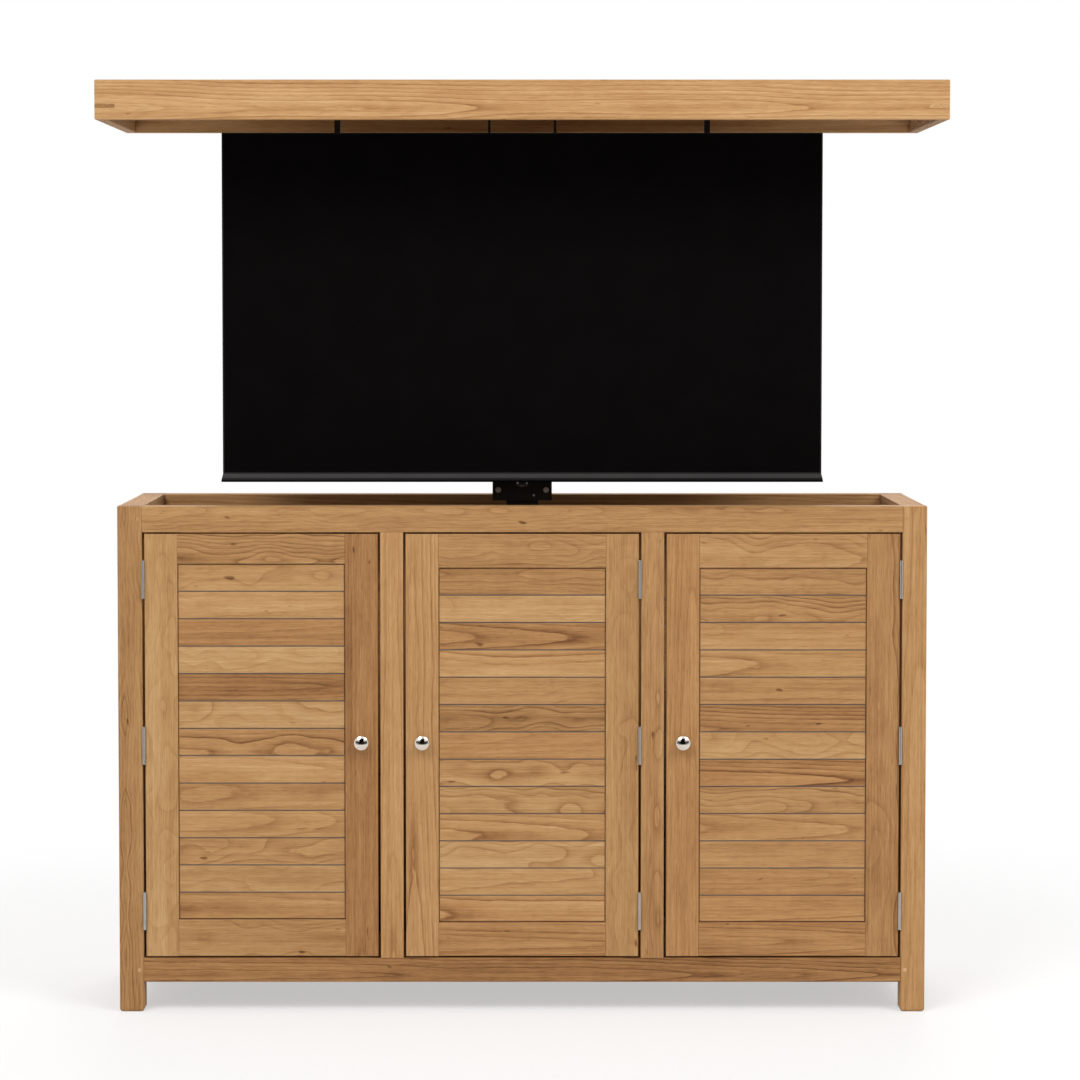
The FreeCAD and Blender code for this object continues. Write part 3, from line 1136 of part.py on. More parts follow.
# ------------------------------------------------------------------------ all nodes
def nodes():
    """Every node's name with its solids."""
    made = {
        "front_posts": [corner_post(False), mirror_x(corner_post(False))],
        "rear_posts": [corner_post(True), mirror_x(corner_post(True))],
        "front_top_rail": [long_rail(OPENING_TOP, TOP_RAIL_HEIGHT, False)],
        "front_bottom_rail": [long_rail(LEG_CLEAR, BOTTOM_RAIL_HEIGHT, False)],
        "rear_rails": [mirror_y(long_rail(*band, True)) for band in RAIL_BANDS],
        "side_rails": [s for band in RAIL_BANDS
                       for s in (side_rail(*band), mirror_x(side_rail(*band)))],
        "front_mullions": [mullion(x, False) for x in mullion_starts()],
        "rear_mullions": [mirror_y(mullion(x, True)) for x in mullion_starts()],
        "side_slats": side_slats(),
        "back_slats": back_slats(),
        "joint_pegs": joint_pegs(),
        "floor_boards": floor_boards(),
        "floor_bearers": floor_bearers(),
        "door_catches": [d.catch() for d in DOORS],
        "frame_hinge_leaves": [s for d in DOORS for s in d.leaves(False)],
        "hinge_pins": [s for d in DOORS for s in d.pins()],
        "lift_base_plate": [lift_base_plate()],
        "lift_gearbox": [lift_gearbox()],
        "lift_motor": [lift_motor()],
        "lift_control_box": [lift_control_box()],
        "lift_outer_tube": [ring_tube(OUTER_TUBE, TUBE_WALL, OUTER_TUBE_BOTTOM,
                                      OUTER_TUBE_TOP)],
        "outer_tube_glides": glides(OUTER_TUBE / 2 - TUBE_WALL,
                                    -tube_gap(OUTER_TUBE, MIDDLE_TUBE),
                                    OUTER_TUBE_TOP - GLIDE_END - GLIDE_HEIGHT),
        "lower_spindle": [lower_spindle()],
        "upper_spindle": [upper_spindle()],
        "lift_middle_tube": [ring_tube(MIDDLE_TUBE, TUBE_WALL, MIDDLE_BOTTOM, MIDDLE_TOP)],
        "middle_tube_fittings": middle_tube_fittings(),
        "lift_inner_tube": [ring_tube(INNER_TUBE, TUBE_WALL, INNER_BOTTOM, INNER_TOP)],
        "inner_tube_fittings": inner_tube_fittings(),
        "lift_head": [lift_head()],
        "tv_mount_plate": [tv_mount_plate()],
        "tv_bracket": tv_bracket(),
        "lid_crossbar": [lid_crossbar()],
        "lid_uprights": lid_uprights(),
        "tv_screen": [tv_screen()],
        "tv_bezel": [tv_bezel()],
        "tv_rear_cover": [tv_rear_cover()],
        "tv_chin": [tv_chin()],
        "tv_sensor_pod": [tv_sensor_pod()],
        "tv_power_button": [tv_power_button()],
        "lid_long_rails": [mitred_rail(True), mirror_y(mitred_rail(True))],
        "lid_side_rails": [mitred_rail(False), mirror_x(mitred_rail(False))],
        "lid_top_boards": lid_top_boards(),
        "lid_battens": lid_battens(),
        "lid_corner_keys": lid_corner_keys(),
    }
    for door in DOORS:
        made[door.name + "_stiles"] = door.stiles()
        made[door.name + "_rails"] = door.rails()
        made[door.name + "_slats"] = door.slats()
        made[door.name + "_knob"] = door.knob()
        made[door.name + "_hinge_leaves"] = door.leaves(True)
    return made


os.makedirs(OUT, exist_ok=True)
for name, solids in nodes().items():
    Part.makeCompound(solids).exportStep(os.path.join(OUT, name + ".step"))
    print(name, len(solids), all(s.isValid() for s in solids))
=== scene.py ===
"""Finishes, fittings and studio for a teak cabinet with a lifting lid and television.

Metres, +Z up, origin on the floor under the middle of the cabinet, doors facing -Y.
"""

from __future__ import annotations

import logging
import math
from abc import ABC, abstractmethod
from dataclasses import dataclass
from enum import Enum
from typing import Callable, Protocol, Union

import bmesh
import bpy
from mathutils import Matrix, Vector

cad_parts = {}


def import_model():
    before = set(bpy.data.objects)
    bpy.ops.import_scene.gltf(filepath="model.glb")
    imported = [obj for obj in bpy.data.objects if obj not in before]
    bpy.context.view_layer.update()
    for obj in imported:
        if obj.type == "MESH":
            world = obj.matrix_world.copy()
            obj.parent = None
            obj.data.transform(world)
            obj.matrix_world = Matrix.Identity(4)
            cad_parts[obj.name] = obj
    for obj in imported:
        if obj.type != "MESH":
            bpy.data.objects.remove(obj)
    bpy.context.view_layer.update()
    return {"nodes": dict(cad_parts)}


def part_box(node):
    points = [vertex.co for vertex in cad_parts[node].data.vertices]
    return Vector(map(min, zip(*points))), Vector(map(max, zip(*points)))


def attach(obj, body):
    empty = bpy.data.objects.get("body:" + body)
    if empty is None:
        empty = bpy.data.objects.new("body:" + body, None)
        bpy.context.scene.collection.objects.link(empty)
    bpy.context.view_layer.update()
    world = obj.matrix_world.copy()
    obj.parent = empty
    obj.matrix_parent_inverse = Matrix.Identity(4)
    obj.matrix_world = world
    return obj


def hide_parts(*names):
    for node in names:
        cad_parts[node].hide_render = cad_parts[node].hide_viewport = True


log = logging.getLogger("lift_cabinet")

Colour = tuple[float, float, float, float]
Point = tuple[float, float, float]
Box = tuple[Vector, Vector]
Profile = list[tuple[float, float]]

TINY = 1e-6
SMOOTH_ANGLE = math.radians(35.0)
# The least cosine of a face that looks up, and of a wedge that belongs to a cross.
LEVEL_COSINE, CROSS_COSINE = 0.99, 0.9
WHITE: Colour = (1.0, 1.0, 1.0, 1.0)


def colour(red: int, green: int, blue: int) -> Colour:
    """Turns a colour as a screen shows it into the linear one that shaders take.

    Args:
        red: 0 to 255.
        green: 0 to 255.
        blue: 0 to 255.

    Returns:
        The linear colour with full alpha.
    """

    def linear(channel: int) -> float:
        """One channel by the sRGB curve."""
        value = channel / 255
        return value / 12.92 if value <= 0.04045 else ((value + 0.055) / 1.055) ** 2.4

    return (linear(red), linear(green), linear(blue), 1.0)


def scaled(shade: Colour, factor: float) -> Colour:
    """A colour made lighter or darker by a factor."""
    return tuple(factor * channel for channel in shade[:3]) + (1.0,)


class Axis(Enum):
    """The three directions of the cabinet's frame."""

    X = 0
    Y = 1
    Z = 2


# --------------------------------------------------------------------- shaders


class Number:
    """A number that a shader node gives out. Python's operators add Math nodes to it."""

    def __init__(self, graph: "Graph", socket: bpy.types.NodeSocket) -> None:
        """Keeps the socket and the graph that it belongs to."""
        self.graph = graph
        self.socket = socket

    def __add__(self, other: "Scalar") -> "Number":
        """self + other."""
        return self.graph.math("ADD", self, other)

    __radd__ = __add__

    def __sub__(self, other: "Scalar") -> "Number":
        """self - other."""
        return self.graph.math("SUBTRACT", self, other)

    def __rsub__(self, other: "Scalar") -> "Number":
        """other - self."""
        return self.graph.math("SUBTRACT", other, self)

    def __mul__(self, other: "Scalar") -> "Number":
        """self * other."""
        return self.graph.math("MULTIPLY", self, other)

    __rmul__ = __mul__

    def __truediv__(self, other: "Scalar") -> "Number":
        """self / other."""
        return self.graph.math("DIVIDE", self, other)

    def __pow__(self, other: "Scalar") -> "Number":
        """self to the power other."""
        return self.graph.math("POWER", self, other)


Scalar = Union[Number, float]
Place = tuple[Scalar, Scalar, Scalar]
Settings = dict[str, object]
Inputs = dict[Union[str, int], object]


class Graph:
    """The node tree of one material or world, with short ways to add nodes."""

    def __init__(self, tree: bpy.types.NodeTree) -> None:
        """Empties the tree and keeps it."""
        self.tree = tree
        tree.nodes.clear()

    def node(self, kind: str, settings: Settings | None = None,
             inputs: Inputs | None = None) -> bpy.types.Node:
        """Adds one node.

        Args:
            kind: the node's type.
            settings: its properties; "stops" gives a ramp's places and colours.
            inputs: values, Numbers or sockets for its inputs.

        Returns:
            The node.
        """
        node = self.tree.nodes.new(kind)
        for name, value in (settings or {}).items():
            if name == "stops":
                self._set_stops(node.color_ramp.elements, value)
            else:
                setattr(node, name, value)
        for name, value in (inputs or {}).items():
            source = value.socket if isinstance(value, Number) else value
            if isinstance(source, bpy.types.NodeSocket):
                self.tree.links.new(source, node.inputs[name])
            else:
                node.inputs[name].default_value = source
        return node

    @staticmethod
    def _set_stops(elements: bpy.types.ColorRampElements,
                   stops: list[tuple[float, Colour]]) -> None:
        """Gives a new ramp its stops in place of the two that it starts with.

        Args:
            elements: the ramp's stops.
            stops: place and colour of each, in rising order.
        """
        for element, (place, shade) in zip(elements, stops):
            element.position = place
            element.color = shade
        for place, shade in stops[2:]:
            elements.new(place).color = shade

    def math(self, operation: str, *operands: Scalar, clamp: bool = False) -> Number:
        """Adds a Math node.

        Args:
            operation: what it does.
            operands: the numbers that it takes.
            clamp: whether the result is held between 0 and 1.

        Returns:
            Its result.
        """
        node = self.node("ShaderNodeMath", {"operation": operation, "use_clamp": clamp},
                         dict(enumerate(operands)))
        return Number(self, node.outputs[0])

    def within(self, value: Scalar, low: float, high: float) -> Number:
        """Maps a stretch of a number smoothly to 0..1.

        Args:
            value: the number.
            low: where the result leaves 0.
            high: where it reaches 1.

        Returns:
            The result, held at 0 and 1 outside the stretch.
        """
        node = self.node("ShaderNodeMapRange", {"interpolation_type": "SMOOTHSTEP"},
                         {"Value": value, "From Min": low, "From Max": high})
        return Number(self, node.outputs["Result"])

    def place(self) -> tuple[Number, ...]:
        """The shaded point in the cabinet's frame.

        Returns:
            One number for each axis.
        """
        point = self.node("ShaderNodeTexCoord").outputs["Object"]
        split = self.node("ShaderNodeSeparateXYZ", inputs={"Vector": point})
        return tuple(Number(self, split.outputs[axis.name]) for axis in Axis)

    def vector(self, *parts: Scalar) -> bpy.types.NodeSocket:
        """Joins three numbers into a vector."""
        return self.node("ShaderNodeCombineXYZ", inputs=dict(enumerate(parts))).outputs[0]

    def noise(self, parts: Place, detail: float) -> Number:
        """Soft noise about zero, sampled at three numbers.

        Args:
            parts: where to sample, already multiplied by how fine the noise is.
            detail: how many finer layers it has.

        Returns:
            The noise, mostly between -0.3 and 0.3.
        """
        node = self.node("ShaderNodeTexNoise", {"noise_dimensions": "3D"},
                         {"Vector": self.vector(*parts), "Scale": 1.0, "Detail": detail,
                          "Roughness": 0.5})
        return Number(self, node.outputs[0]) - 0.5

    def mix(self, factor: Scalar, first: object, second: object,
            blend: str = "MIX") -> bpy.types.NodeSocket:
        """Mixes two colours.

        Args:
            factor: 0 for the first alone, 1 for the second in full.
            first: a colour or a socket that gives one.
            second: the same.
            blend: how they are mixed.

        Returns:
            The socket of the mixed colour.
        """
        # The node has sockets for each kind of data. These are the factor and the colours.
        node = self.node("ShaderNodeMix", {"data_type": "RGBA", "blend_type": blend},
                         {0: factor, 6: first, 7: second})
        return node.outputs[2]

    def bump(self, height: Number, distance: float, strength: float) -> bpy.types.NodeSocket:
        """Turns a height into a normal.

        Args:
            height: the height, about 0 to 1.
            distance: how many metres a height of 1 is.
            strength: 0 for flat, 1 for full.

        Returns:
            The normal's socket.
        """
        node = self.node("ShaderNodeBump", inputs={"Height": height, "Distance": distance,
                                                   "Strength": strength})
        return node.outputs[0]

    def surface(self, inputs: Inputs) -> None:
        """Ends a material in one Principled shader with these inputs."""
        shader = self.node("ShaderNodeBsdfPrincipled", inputs=inputs)
        self.node("ShaderNodeOutputMaterial", inputs={"Surface": shader.outputs[0]})


def new_material(name: str) -> tuple[bpy.types.Material, Graph]:
    """Makes an empty material.

    Args:
        name: its name.

    Returns:
        The material and the graph of its nodes.
    """
    material = bpy.data.materials.new(name)
    material.use_nodes = True
    return material, Graph(material.node_tree)


class Finish(Protocol):
    """What a surface is made of."""

    def material(self, name: str) -> bpy.types.Material:
        """Builds the finish's material under this name."""


# ------------------------------------------------------------------------ teak


# A board's share that is wider than any piece.
WIDE_SHARE = 10.0


@dataclass(frozen=True)
class Boards:
    """Boards laid side by side along one axis.

    Attributes:
        axis: the axis that they are laid along.
        start: where the first board's share of it begins.
        pitch: one board's share.
    """

    axis: Axis
    start: float
    pitch: float

    @classmethod
    def row(cls, axis: Axis, low: float, high: float, count: int) -> "Boards":
        """So many equal boards from low to high."""
        return cls(axis, low, (high - low) / count)

    @classmethod
    def pair(cls, axis: Axis, node: str, width: float) -> "Boards":
        """Two boards at the two ends of a CAD node.

        Args:
            axis: the axis that they are laid along.
            node: the node's name.
            width: of each board.

        Returns:
            The boards, whose shares meet halfway between them.
        """
        low, high = (corner[axis.value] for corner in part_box(node))
        pitch = high - low - width
        return cls(axis, low + width / 2 - pitch / 2, pitch)

    @classmethod
    def single(cls, axis: Axis, node: str) -> "Boards":
        """One board as wide as a CAD node."""
        low, high = (corner[axis.value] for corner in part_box(node))
        return cls(axis, (low + high) / 2 - WIDE_SHARE / 2, WIDE_SHARE)

    def find(self, graph: Graph, place: tuple[Number, ...]) -> tuple[Number, Number]:
        """Finds the board that a point is on.

        Args:
            graph: the material's graph.
            place: the point, one number for each axis.

        Returns:
            How far the point is from the board's middle, and the board's number.
        """
        share = (place[self.axis.value] - self.start) / self.pitch
        number = graph.math("FLOOR", share)
        return (share - number - 0.5) * self.pitch, number


@dataclass(frozen=True)
class Streaks:
    """One layer of soft noise in the wood, drawn out along the grain.

    Attributes:
        along: how fine it is along the grain, in waves to the metre.
        across: how fine it is across the grain.
        detail: how many finer layers it has.
        strength: how much it counts, below 0 where it darkens.
        edges: the noise at which it starts and is full, where it makes spots.
    """

    along: float
    across: float
    detail: float
    strength: float = 1.0
    edges: tuple[float, float] | None = None

    def draw(self, graph: Graph, point: Place, shift: Number | None = None) -> Number:
        """Adds the layer's nodes.

        Args:
            graph: the material's graph.
            point: the point along the grain, across it and through the board.
            shift: moves the noise, where boards have to differ.

        Returns:
            The noise or the spots, before their strength.
        """
        along, across, through = point
        depth = through * self.across
        if shift is not None:
            depth = depth + shift
        noise = graph.noise((along * self.along, across * self.across, depth), self.detail)
        return noise if self.edges is None else graph.within(noise, *self.edges)


@dataclass(frozen=True)
class RingEdge:
    """How a growth ring darkens at its start and pales again.

    Attributes:
        rise: the share of the ring over which it darkens.
        fall: the power by which it pales.
        strength: how dark it gets.
    """

    rise: float
    fall: float
    strength: float

    def draw(self, graph: Graph, part: Number) -> Number:
        """The darkness at a part of the ring, from 0 at its start to 1 at its end."""
        return graph.within(part, 0.0, self.rise) * (1.0 - part) ** self.fall * self.strength


# Layers of the wood's lightness, from broad stripes to fine fibres, and its blotches.
LAYERS = (
    Streaks(along=1.4, across=26.0, detail=2.0, strength=0.30),
    Streaks(along=3.4, across=240.0, detail=3.0, strength=0.33),
    Streaks(along=34.0, across=800.0, detail=2.0, strength=0.32),
    Streaks(along=16.0, across=40.0, detail=2.0, strength=0.16),
)
PORES = Streaks(along=55.0, across=1500.0, detail=0.0, strength=-0.11, edges=(0.12, 0.26))
FLECKS = Streaks(along=22.0, across=60.0, detail=1.0, strength=-0.34, edges=(0.25, 0.33))
# What moves the rings: along a board, round knots, and finely.
STRAY = Streaks(along=1.6, across=5.0, detail=1.0)
SWIRL = Streaks(along=8.0, across=13.0, detail=1.0)
RIPPLE = Streaks(along=30.0, across=60.0, detail=2.0, strength=0.0022)
# A ring's fine line and the shadow after it.
RING_EDGES = (RingEdge(rise=0.08, fall=9.0, strength=0.75),
              RingEdge(rise=0.10, fall=2.0, strength=0.65))
# Mean and spread of the rings' darkness within a board, and from board to board.
RING_MEAN, RING_SPREAD = 0.7, 2.6
BOARD_FAINT, BOARD_BOLD = 0.35, 0.9
# The draw above which a board has a swirl, and how far the log's heart may lie aside.
SWIRL_DRAW = 0.35
HEART_ASIDE = 0.05
# The lightness of plain teak, and how much a full ring takes from it.
MEAN_LIGHT = 0.56
RING_DARK = 0.27
# How far apart boards, and pieces of a board, are set in the noise.
ALONG_STRIDE, ACROSS_STRIDE, PIECE_STRIDE = 37.0, 9.0, 7.3
STRAY_STRIDE, SWIRL_STRIDE = 11.0, 5.0
RING_STRIDE, BOARD_STRIDE = 3.7, 50.0
# The browns by lightness, the two tints that boards lie between, and the grey of the painted
# shadow along joints.
BROWNS = [
    (0.0, colour(78, 49, 28)),
    (0.22, colour(118, 79, 47)),
    (0.45, colour(163, 119, 76)),
    (0.62, colour(185, 142, 95)),
    (0.80, colour(204, 165, 119)),
    (1.0, colour(225, 191, 150)),
]
WARM_TINT, COOL_TINT = colour(255, 250, 244), colour(250, 251, 247)
JOINT_SHADOW_GREY = colour(126, 121, 116)
# Roughness of the darkest teak and how much smoother the palest is, its shine and relief.
DARK_ROUGH, PALE_SMOOTH = 0.70, 0.18
OIL_SHINE = 0.16
RELIEF, RELIEF_STRENGTH = 0.0005, 0.30
SEAM = 0.0022


@dataclass(frozen=True)
class Teak:
    """Oiled teak, sawn from a log whose rings run along the grain.

    Attributes:
        grain: the axis that the grain follows.
        across: how the boards lie over the first other axis.
        through: how they lie over the second other axis.
        seed: picks the boards' figures.
        tone: lighter above 0, darker below; on a few rails it is painted light and painted
            shade.
        spread: how much tone differs from board to board.
        ring: distance between growth rings.
        heart: nearest and furthest distance from the log's heart.
        taper: how fast the log narrows, which draws the cathedrals out.
        wander: how far the rings stray along a board.
        swirl: how far they turn aside, as round a knot, in the wildest boards.
        contrast: how strongly the rings show.
        seam: width of the grey shadow along a board's joints, if it has any.
        pieces: how a row of boards is cut along the grain, if it is.
        step: how much lighter each next board is.
    """

    grain: Axis
    across: Boards
    through: Boards
    seed: float
    tone: float = 0.0
    spread: float = 0.13
    ring: float = 0.0072
    heart: tuple[float, float] = (0.010, 0.080)
    taper: float = 0.022
    wander: float = 0.030
    swirl: float = 0.045
    contrast: float = 1.0
    seam: float = 0.0
    pieces: Boards | None = None
    step: float = 0.0

    def material(self, name: str) -> bpy.types.Material:
        """Builds the teak.

        Args:
            name: the material's name.

        Returns:
            The material.
        """
        material, graph = new_material(name)
        place = graph.place()
        across, across_board = self.across.find(graph, place)
        through, through_board = self.through.find(graph, place)
        if self.pieces is not None:
            through_board = through_board + self.pieces.find(graph, place)[1] * PIECE_STRIDE
        draws = self._draws(graph, across_board, through_board)
        along = place[self.grain.value] + draws[0] * ALONG_STRIDE
        figure = self._rings(graph, (along, across, through), draws)
        point = (along, across + draws[1] * ACROSS_STRIDE, through)
        shade = self._shade(graph, point, draws, figure)
        if self.step:
            shade = graph.math("ADD", shade, across_board * self.step, clamp=True)
        graph.surface({
            "Base Color": self._colour(graph, shade, draws, across),
            "Roughness": DARK_ROUGH - PALE_SMOOTH * shade,
            "Specular IOR Level": OIL_SHINE,
            "Normal": graph.bump(shade, RELIEF, RELIEF_STRENGTH),
        })
        return material

    def _draws(self, graph: Graph, *boards: Number) -> list[Number]:
        """Three random numbers of 0 to 1 for each board.

        Args:
            graph: the material's graph.
            boards: the board's numbers across and through.

        Returns:
            The three numbers.
        """
        node = graph.node("ShaderNodeTexWhiteNoise", {"noise_dimensions": "3D"},
                          {"Vector": graph.vector(*boards, self.seed)})
        split = graph.node("ShaderNodeSeparateColor", inputs={0: node.outputs["Color"]})
        return [Number(graph, output) for output in split.outputs]

    def _rings(self, graph: Graph, point: Place, draws: list[Number]) -> Number:
        """How dark the growth rings make a point.

        Args:
            graph: the material's graph.
            point: the point along the grain, across it and through the board.
            draws: the board's random numbers.

        Returns:
            0 between the rings to about 1 on their line.
        """
        along, across, through = point
        stray = STRAY.draw(graph, point, draws[1] * STRAY_STRIDE)
        swirl = SWIRL.draw(graph, point, draws[2] * SWIRL_STRIDE)
        near, far = self.heart
        side = across + (draws[1] - 0.5) * HEART_ASIDE
        depth = through + near + draws[2] * (far - near)
        radius = graph.math("SQRT", side * side + depth * depth)
        wild = graph.within(draws[0], SWIRL_DRAW, 1.0) * self.swirl
        radius = radius + along * self.taper + stray * self.wander + swirl * wild
        rings = (radius + RIPPLE.draw(graph, point) * RIPPLE.strength) / self.ring
        part = graph.math("FRACT", rings)
        line, shadow = (edge.draw(graph, part) for edge in RING_EDGES)
        ring = graph.math("FLOOR", rings)
        variety = graph.noise((ring * RING_STRIDE, draws[0] * BOARD_STRIDE, 0.5), detail=0.0)
        bold = BOARD_FAINT + draws[1] * BOARD_BOLD
        return (line + shadow) * (RING_MEAN + variety * RING_SPREAD) * bold

    def _shade(self, graph: Graph, point: Place, draws: list[Number],
               rings: Number) -> Number:
        """The wood's lightness at a point.

        Args:
            graph: the material's graph.
            point: the point along the grain, across it and through the board.
            draws: the board's random numbers.
            rings: how dark the rings are there.

        Returns:
            0 for the darkest brown to 1 for the palest.
        """
        light = (MEAN_LIGHT + self.tone) + (draws[2] - 0.5) * (2.0 * self.spread)
        for layer in LAYERS:
            light = light + layer.draw(graph, point) * layer.strength
        light = light - rings * (RING_DARK * self.contrast)
        for spots in (PORES, FLECKS):
            light = light + spots.draw(graph, point) * spots.strength
        return graph.math("ADD", light, 0.0, clamp=True)

    def _colour(self, graph: Graph, shade: Number, draws: list[Number],
                across: Number) -> bpy.types.NodeSocket:
        """Gives the shade its brown, each board a slightly other one, and paints a grey shadow
        along the joints.

        Args:
            graph: the material's graph.
            shade: the lightness.
            draws: the board's random numbers.
            across: how far the point is from the board's middle.

        Returns:
            The colour's socket.
        """
        ramp = graph.node("ShaderNodeValToRGB", {"stops": BROWNS}, {"Fac": shade})
        tint = graph.mix(draws[0], WARM_TINT, COOL_TINT)
        brown = graph.mix(1.0, ramp.outputs[0], tint, "MULTIPLY")
        if self.seam == 0.0:
            return brown
        # A band of painted grey shadow along each joint of the boards.
        half = self.across.pitch / 2
        seam_shadow = graph.within(graph.math("ABSOLUTE", across), half - self.seam, half)
        return graph.mix(seam_shadow, brown, JOINT_SHADOW_GREY)


# -------------------------------------------------------- metals and plastics


# How much smears and scratches, or dust and the skin, change the roughness.
SMEAR_ROUGH, SCRATCH_ROUGH = 0.5, 0.4
DUST_ROUGH, SKIN_ROUGH = 0.35, 0.2
# Height and strength of brush marks, and strength of a coat's skin.
BRUSH_RELIEF, BRUSH_STRENGTH = 0.00004, 0.5
SKIN_STRENGTH = 0.4
# The noise between which dust goes from none to full.
DUST_EDGES = (-0.2, 0.35)
FOOT_BLACK = colour(8, 8, 8)


@dataclass(frozen=True)
class Metal:
    """Bare or plated metal.

    Attributes:
        shade: its colour.
        roughness: 0 for a mirror.
        brush: the axis that it was brushed along, if it was.
        smears: how fine its smears are, in waves to the metre.
        scratches: how fine its scratches are where it isn't brushed.
        brush_marks: how fine its brush marks are, along the brush and across it.
        dim: the share of its light that is left where it is smeared.
    """

    shade: Colour
    roughness: float
    brush: Axis | None = None
    smears: float = 60.0
    scratches: float = 900.0
    brush_marks: tuple[float, float] = (40.0, 2600.0)
    dim: float = 0.82

    def material(self, name: str) -> bpy.types.Material:
        """Builds the metal, with wear and brush marks.

        Args:
            name: the material's name.

        Returns:
            The material.
        """
        material, graph = new_material(name)
        place = graph.place()
        smear = graph.noise(tuple(part * self.smears for part in place), detail=2.0)
        inputs: Inputs = {"Metallic": 1.0}
        if self.brush is None:
            scratch = graph.noise(tuple(part * self.scratches for part in place), detail=1.0)
        else:
            along, across = self.brush_marks
            scratch = graph.noise(tuple(part * (along if axis == self.brush else across)
                                        for axis, part in zip(Axis, place)), detail=1.0)
            inputs["Normal"] = graph.bump(scratch, BRUSH_RELIEF, BRUSH_STRENGTH)
        wear = smear * SMEAR_ROUGH + scratch * SCRATCH_ROUGH
        inputs["Roughness"] = self.roughness * (1.0 + wear)
        inputs["Base Color"] = graph.mix(0.5 + smear, self.shade, scaled(self.shade, self.dim))
        graph.surface(inputs)
        return material


@dataclass(frozen=True)
class Coat:
    """Powder coat, moulded plastic or paint.

    Attributes:
        shade: its colour.
        roughness: 0 for a mirror.
        texture: how many grains its skin has to the metre.
        relief: how high the grains stand.
        specular: how strong its mirror is, 0.5 for a common plastic.
        foot: the heights between which it turns black downward, if it does.
        dust: how fine its dust is, in waves to the metre.
        dusty: how many times lighter it is where dust lies.
    """

    shade: Colour
    roughness: float
    texture: float = 1400.0
    relief: float = 0.00006
    specular: float = 0.5
    foot: tuple[float, float] | None = None
    dust: float = 14.0
    dusty: float = 1.18

    def material(self, name: str) -> bpy.types.Material:
        """Builds the coat with its fine skin and slight dust.

        Args:
            name: the material's name.

        Returns:
            The material.
        """
        material, graph = new_material(name)
        place = graph.place()
        skin = graph.noise(tuple(part * self.texture for part in place), detail=1.0)
        dust = graph.noise(tuple(part * self.dust for part in place), detail=3.0)
        shade = graph.mix(graph.within(dust, *DUST_EDGES), self.shade,
                          scaled(self.shade, self.dusty))
        if self.foot is not None:
            shade = graph.mix(graph.within(place[Axis.Z.value], *self.foot), FOOT_BLACK, shade)
        wear = dust * DUST_ROUGH + skin * SKIN_ROUGH
        graph.surface({
            "Base Color": shade,
            "Roughness": self.roughness * (1.0 + wear),
            "Specular IOR Level": self.specular,
            "Normal": graph.bump(skin, self.relief, SKIN_STRENGTH),
        })
        return material


BLACK_STEEL = Coat(colour(46, 44, 42), roughness=0.46, specular=0.3)
BLACK_PLASTIC = Coat(colour(18, 17, 17), roughness=0.55, texture=1100.0, relief=0.00009,
                     specular=0.3)
GREY_PLASTIC = Coat(colour(186, 181, 175), roughness=0.5)
# Near-white plastic for the pod's lip and lugs, a painted highlight on the dark pod.
HIGHLIGHT_PLASTIC = Coat(colour(236, 230, 222), roughness=0.4)
SCREEN = Coat(colour(12, 10, 10), roughness=0.12, texture=3000.0, relief=0.000002,
              specular=0.04)
CHIN_TRIM = Coat(colour(56, 54, 54), roughness=0.34, texture=2400.0, relief=0.00002,
                 specular=0.08, foot=(1.0685, 1.0722))
HINGE_STEEL = Metal(colour(194, 194, 192), roughness=0.42, brush=Axis.Z)
TURNED_STEEL = Metal(colour(168, 168, 168), roughness=0.28)
ZINC = Coat(colour(205, 199, 190), roughness=0.40)
DULL_ZINC = Coat(colour(190, 181, 171), roughness=0.45)
CHROME = Metal(colour(226, 216, 204), roughness=0.07)


@dataclass(frozen=True)
class Look:
    """A finish as a piece takes it.

    Attributes:
        slot: the record's slot that it belongs to; not used by this script.
        name: its material's name.
        finish: what it is made of.
    """

    slot: str
    name: str
    finish: Finish


STEEL_LOOK = Look("black_steel", "black_steel", BLACK_STEEL)
TURNED_LOOK = Look("bright_steel", "turned_steel", TURNED_STEEL)
BOLT_LOOK = Look("bright_steel", "dull_zinc", DULL_ZINC)
ZINC_LOOK = Look("bright_steel", "zinc", ZINC)
HINGE_LOOK = Look("hinge_steel", "hinge_steel", HINGE_STEEL)
CHROME_LOOK = Look("polished_chrome", "polished_chrome", CHROME)
PLASTIC_LOOK = Look("black_plastic", "black_plastic", BLACK_PLASTIC)
GREY_LOOK = Look("grey_plastic", "grey_plastic", GREY_PLASTIC)
HIGHLIGHT_LOOK = Look("grey_plastic", "painted_highlight", HIGHLIGHT_PLASTIC)
SCREEN_LOOK = Look("screen", "screen", SCREEN)
CHIN_LOOK = Look("chin_trim", "chin_trim", CHIN_TRIM)


class Materials:
    """Builds each finish once and hands it out again."""

    def __init__(self) -> None:
        """Starts with nothing built."""
        self.built: dict[Finish, bpy.types.Material] = {}

    def get(self, name: str, finish: Finish) -> bpy.types.Material:
        """Finds a finish's material, or builds it at its first use.

        Args:
            name: the name to build it under.
            finish: the finish.

        Returns:
            The material.
        """
        if finish not in self.built:
            self.built[finish] = finish.material(name)
        return self.built[finish]

    def dress(self, piece: bpy.types.Object, name: str, finish: Finish) -> None:
        """Gives a piece one finish all over, and reports it.

        Args:
            piece: a CAD node or a new piece.
            name: the material's name.
            finish: the finish.
        """
        material = self.get(name, finish)
        if piece.material_slots:
            for slot in piece.material_slots:
                slot.material = material
        else:
            piece.data.materials.append(material)
        log.info("%s: %s", piece.name, material.name)


# ------------------------------------------------------------------- modelling


class Facing(Enum):
    """Which way a fitting's head looks, as the turn that brings +Z there."""

    UP = (0.0, 0.0, 0.0)
    DOWN = (math.pi, 0.0, 0.0)
    FRONT = (math.pi / 2, 0.0, 0.0)
    BACK = (-math.pi / 2, 0.0, 0.0)
    LEFT = (0.0, -math.pi / 2, 0.0)
    RIGHT = (0.0, math.pi / 2, 0.0)


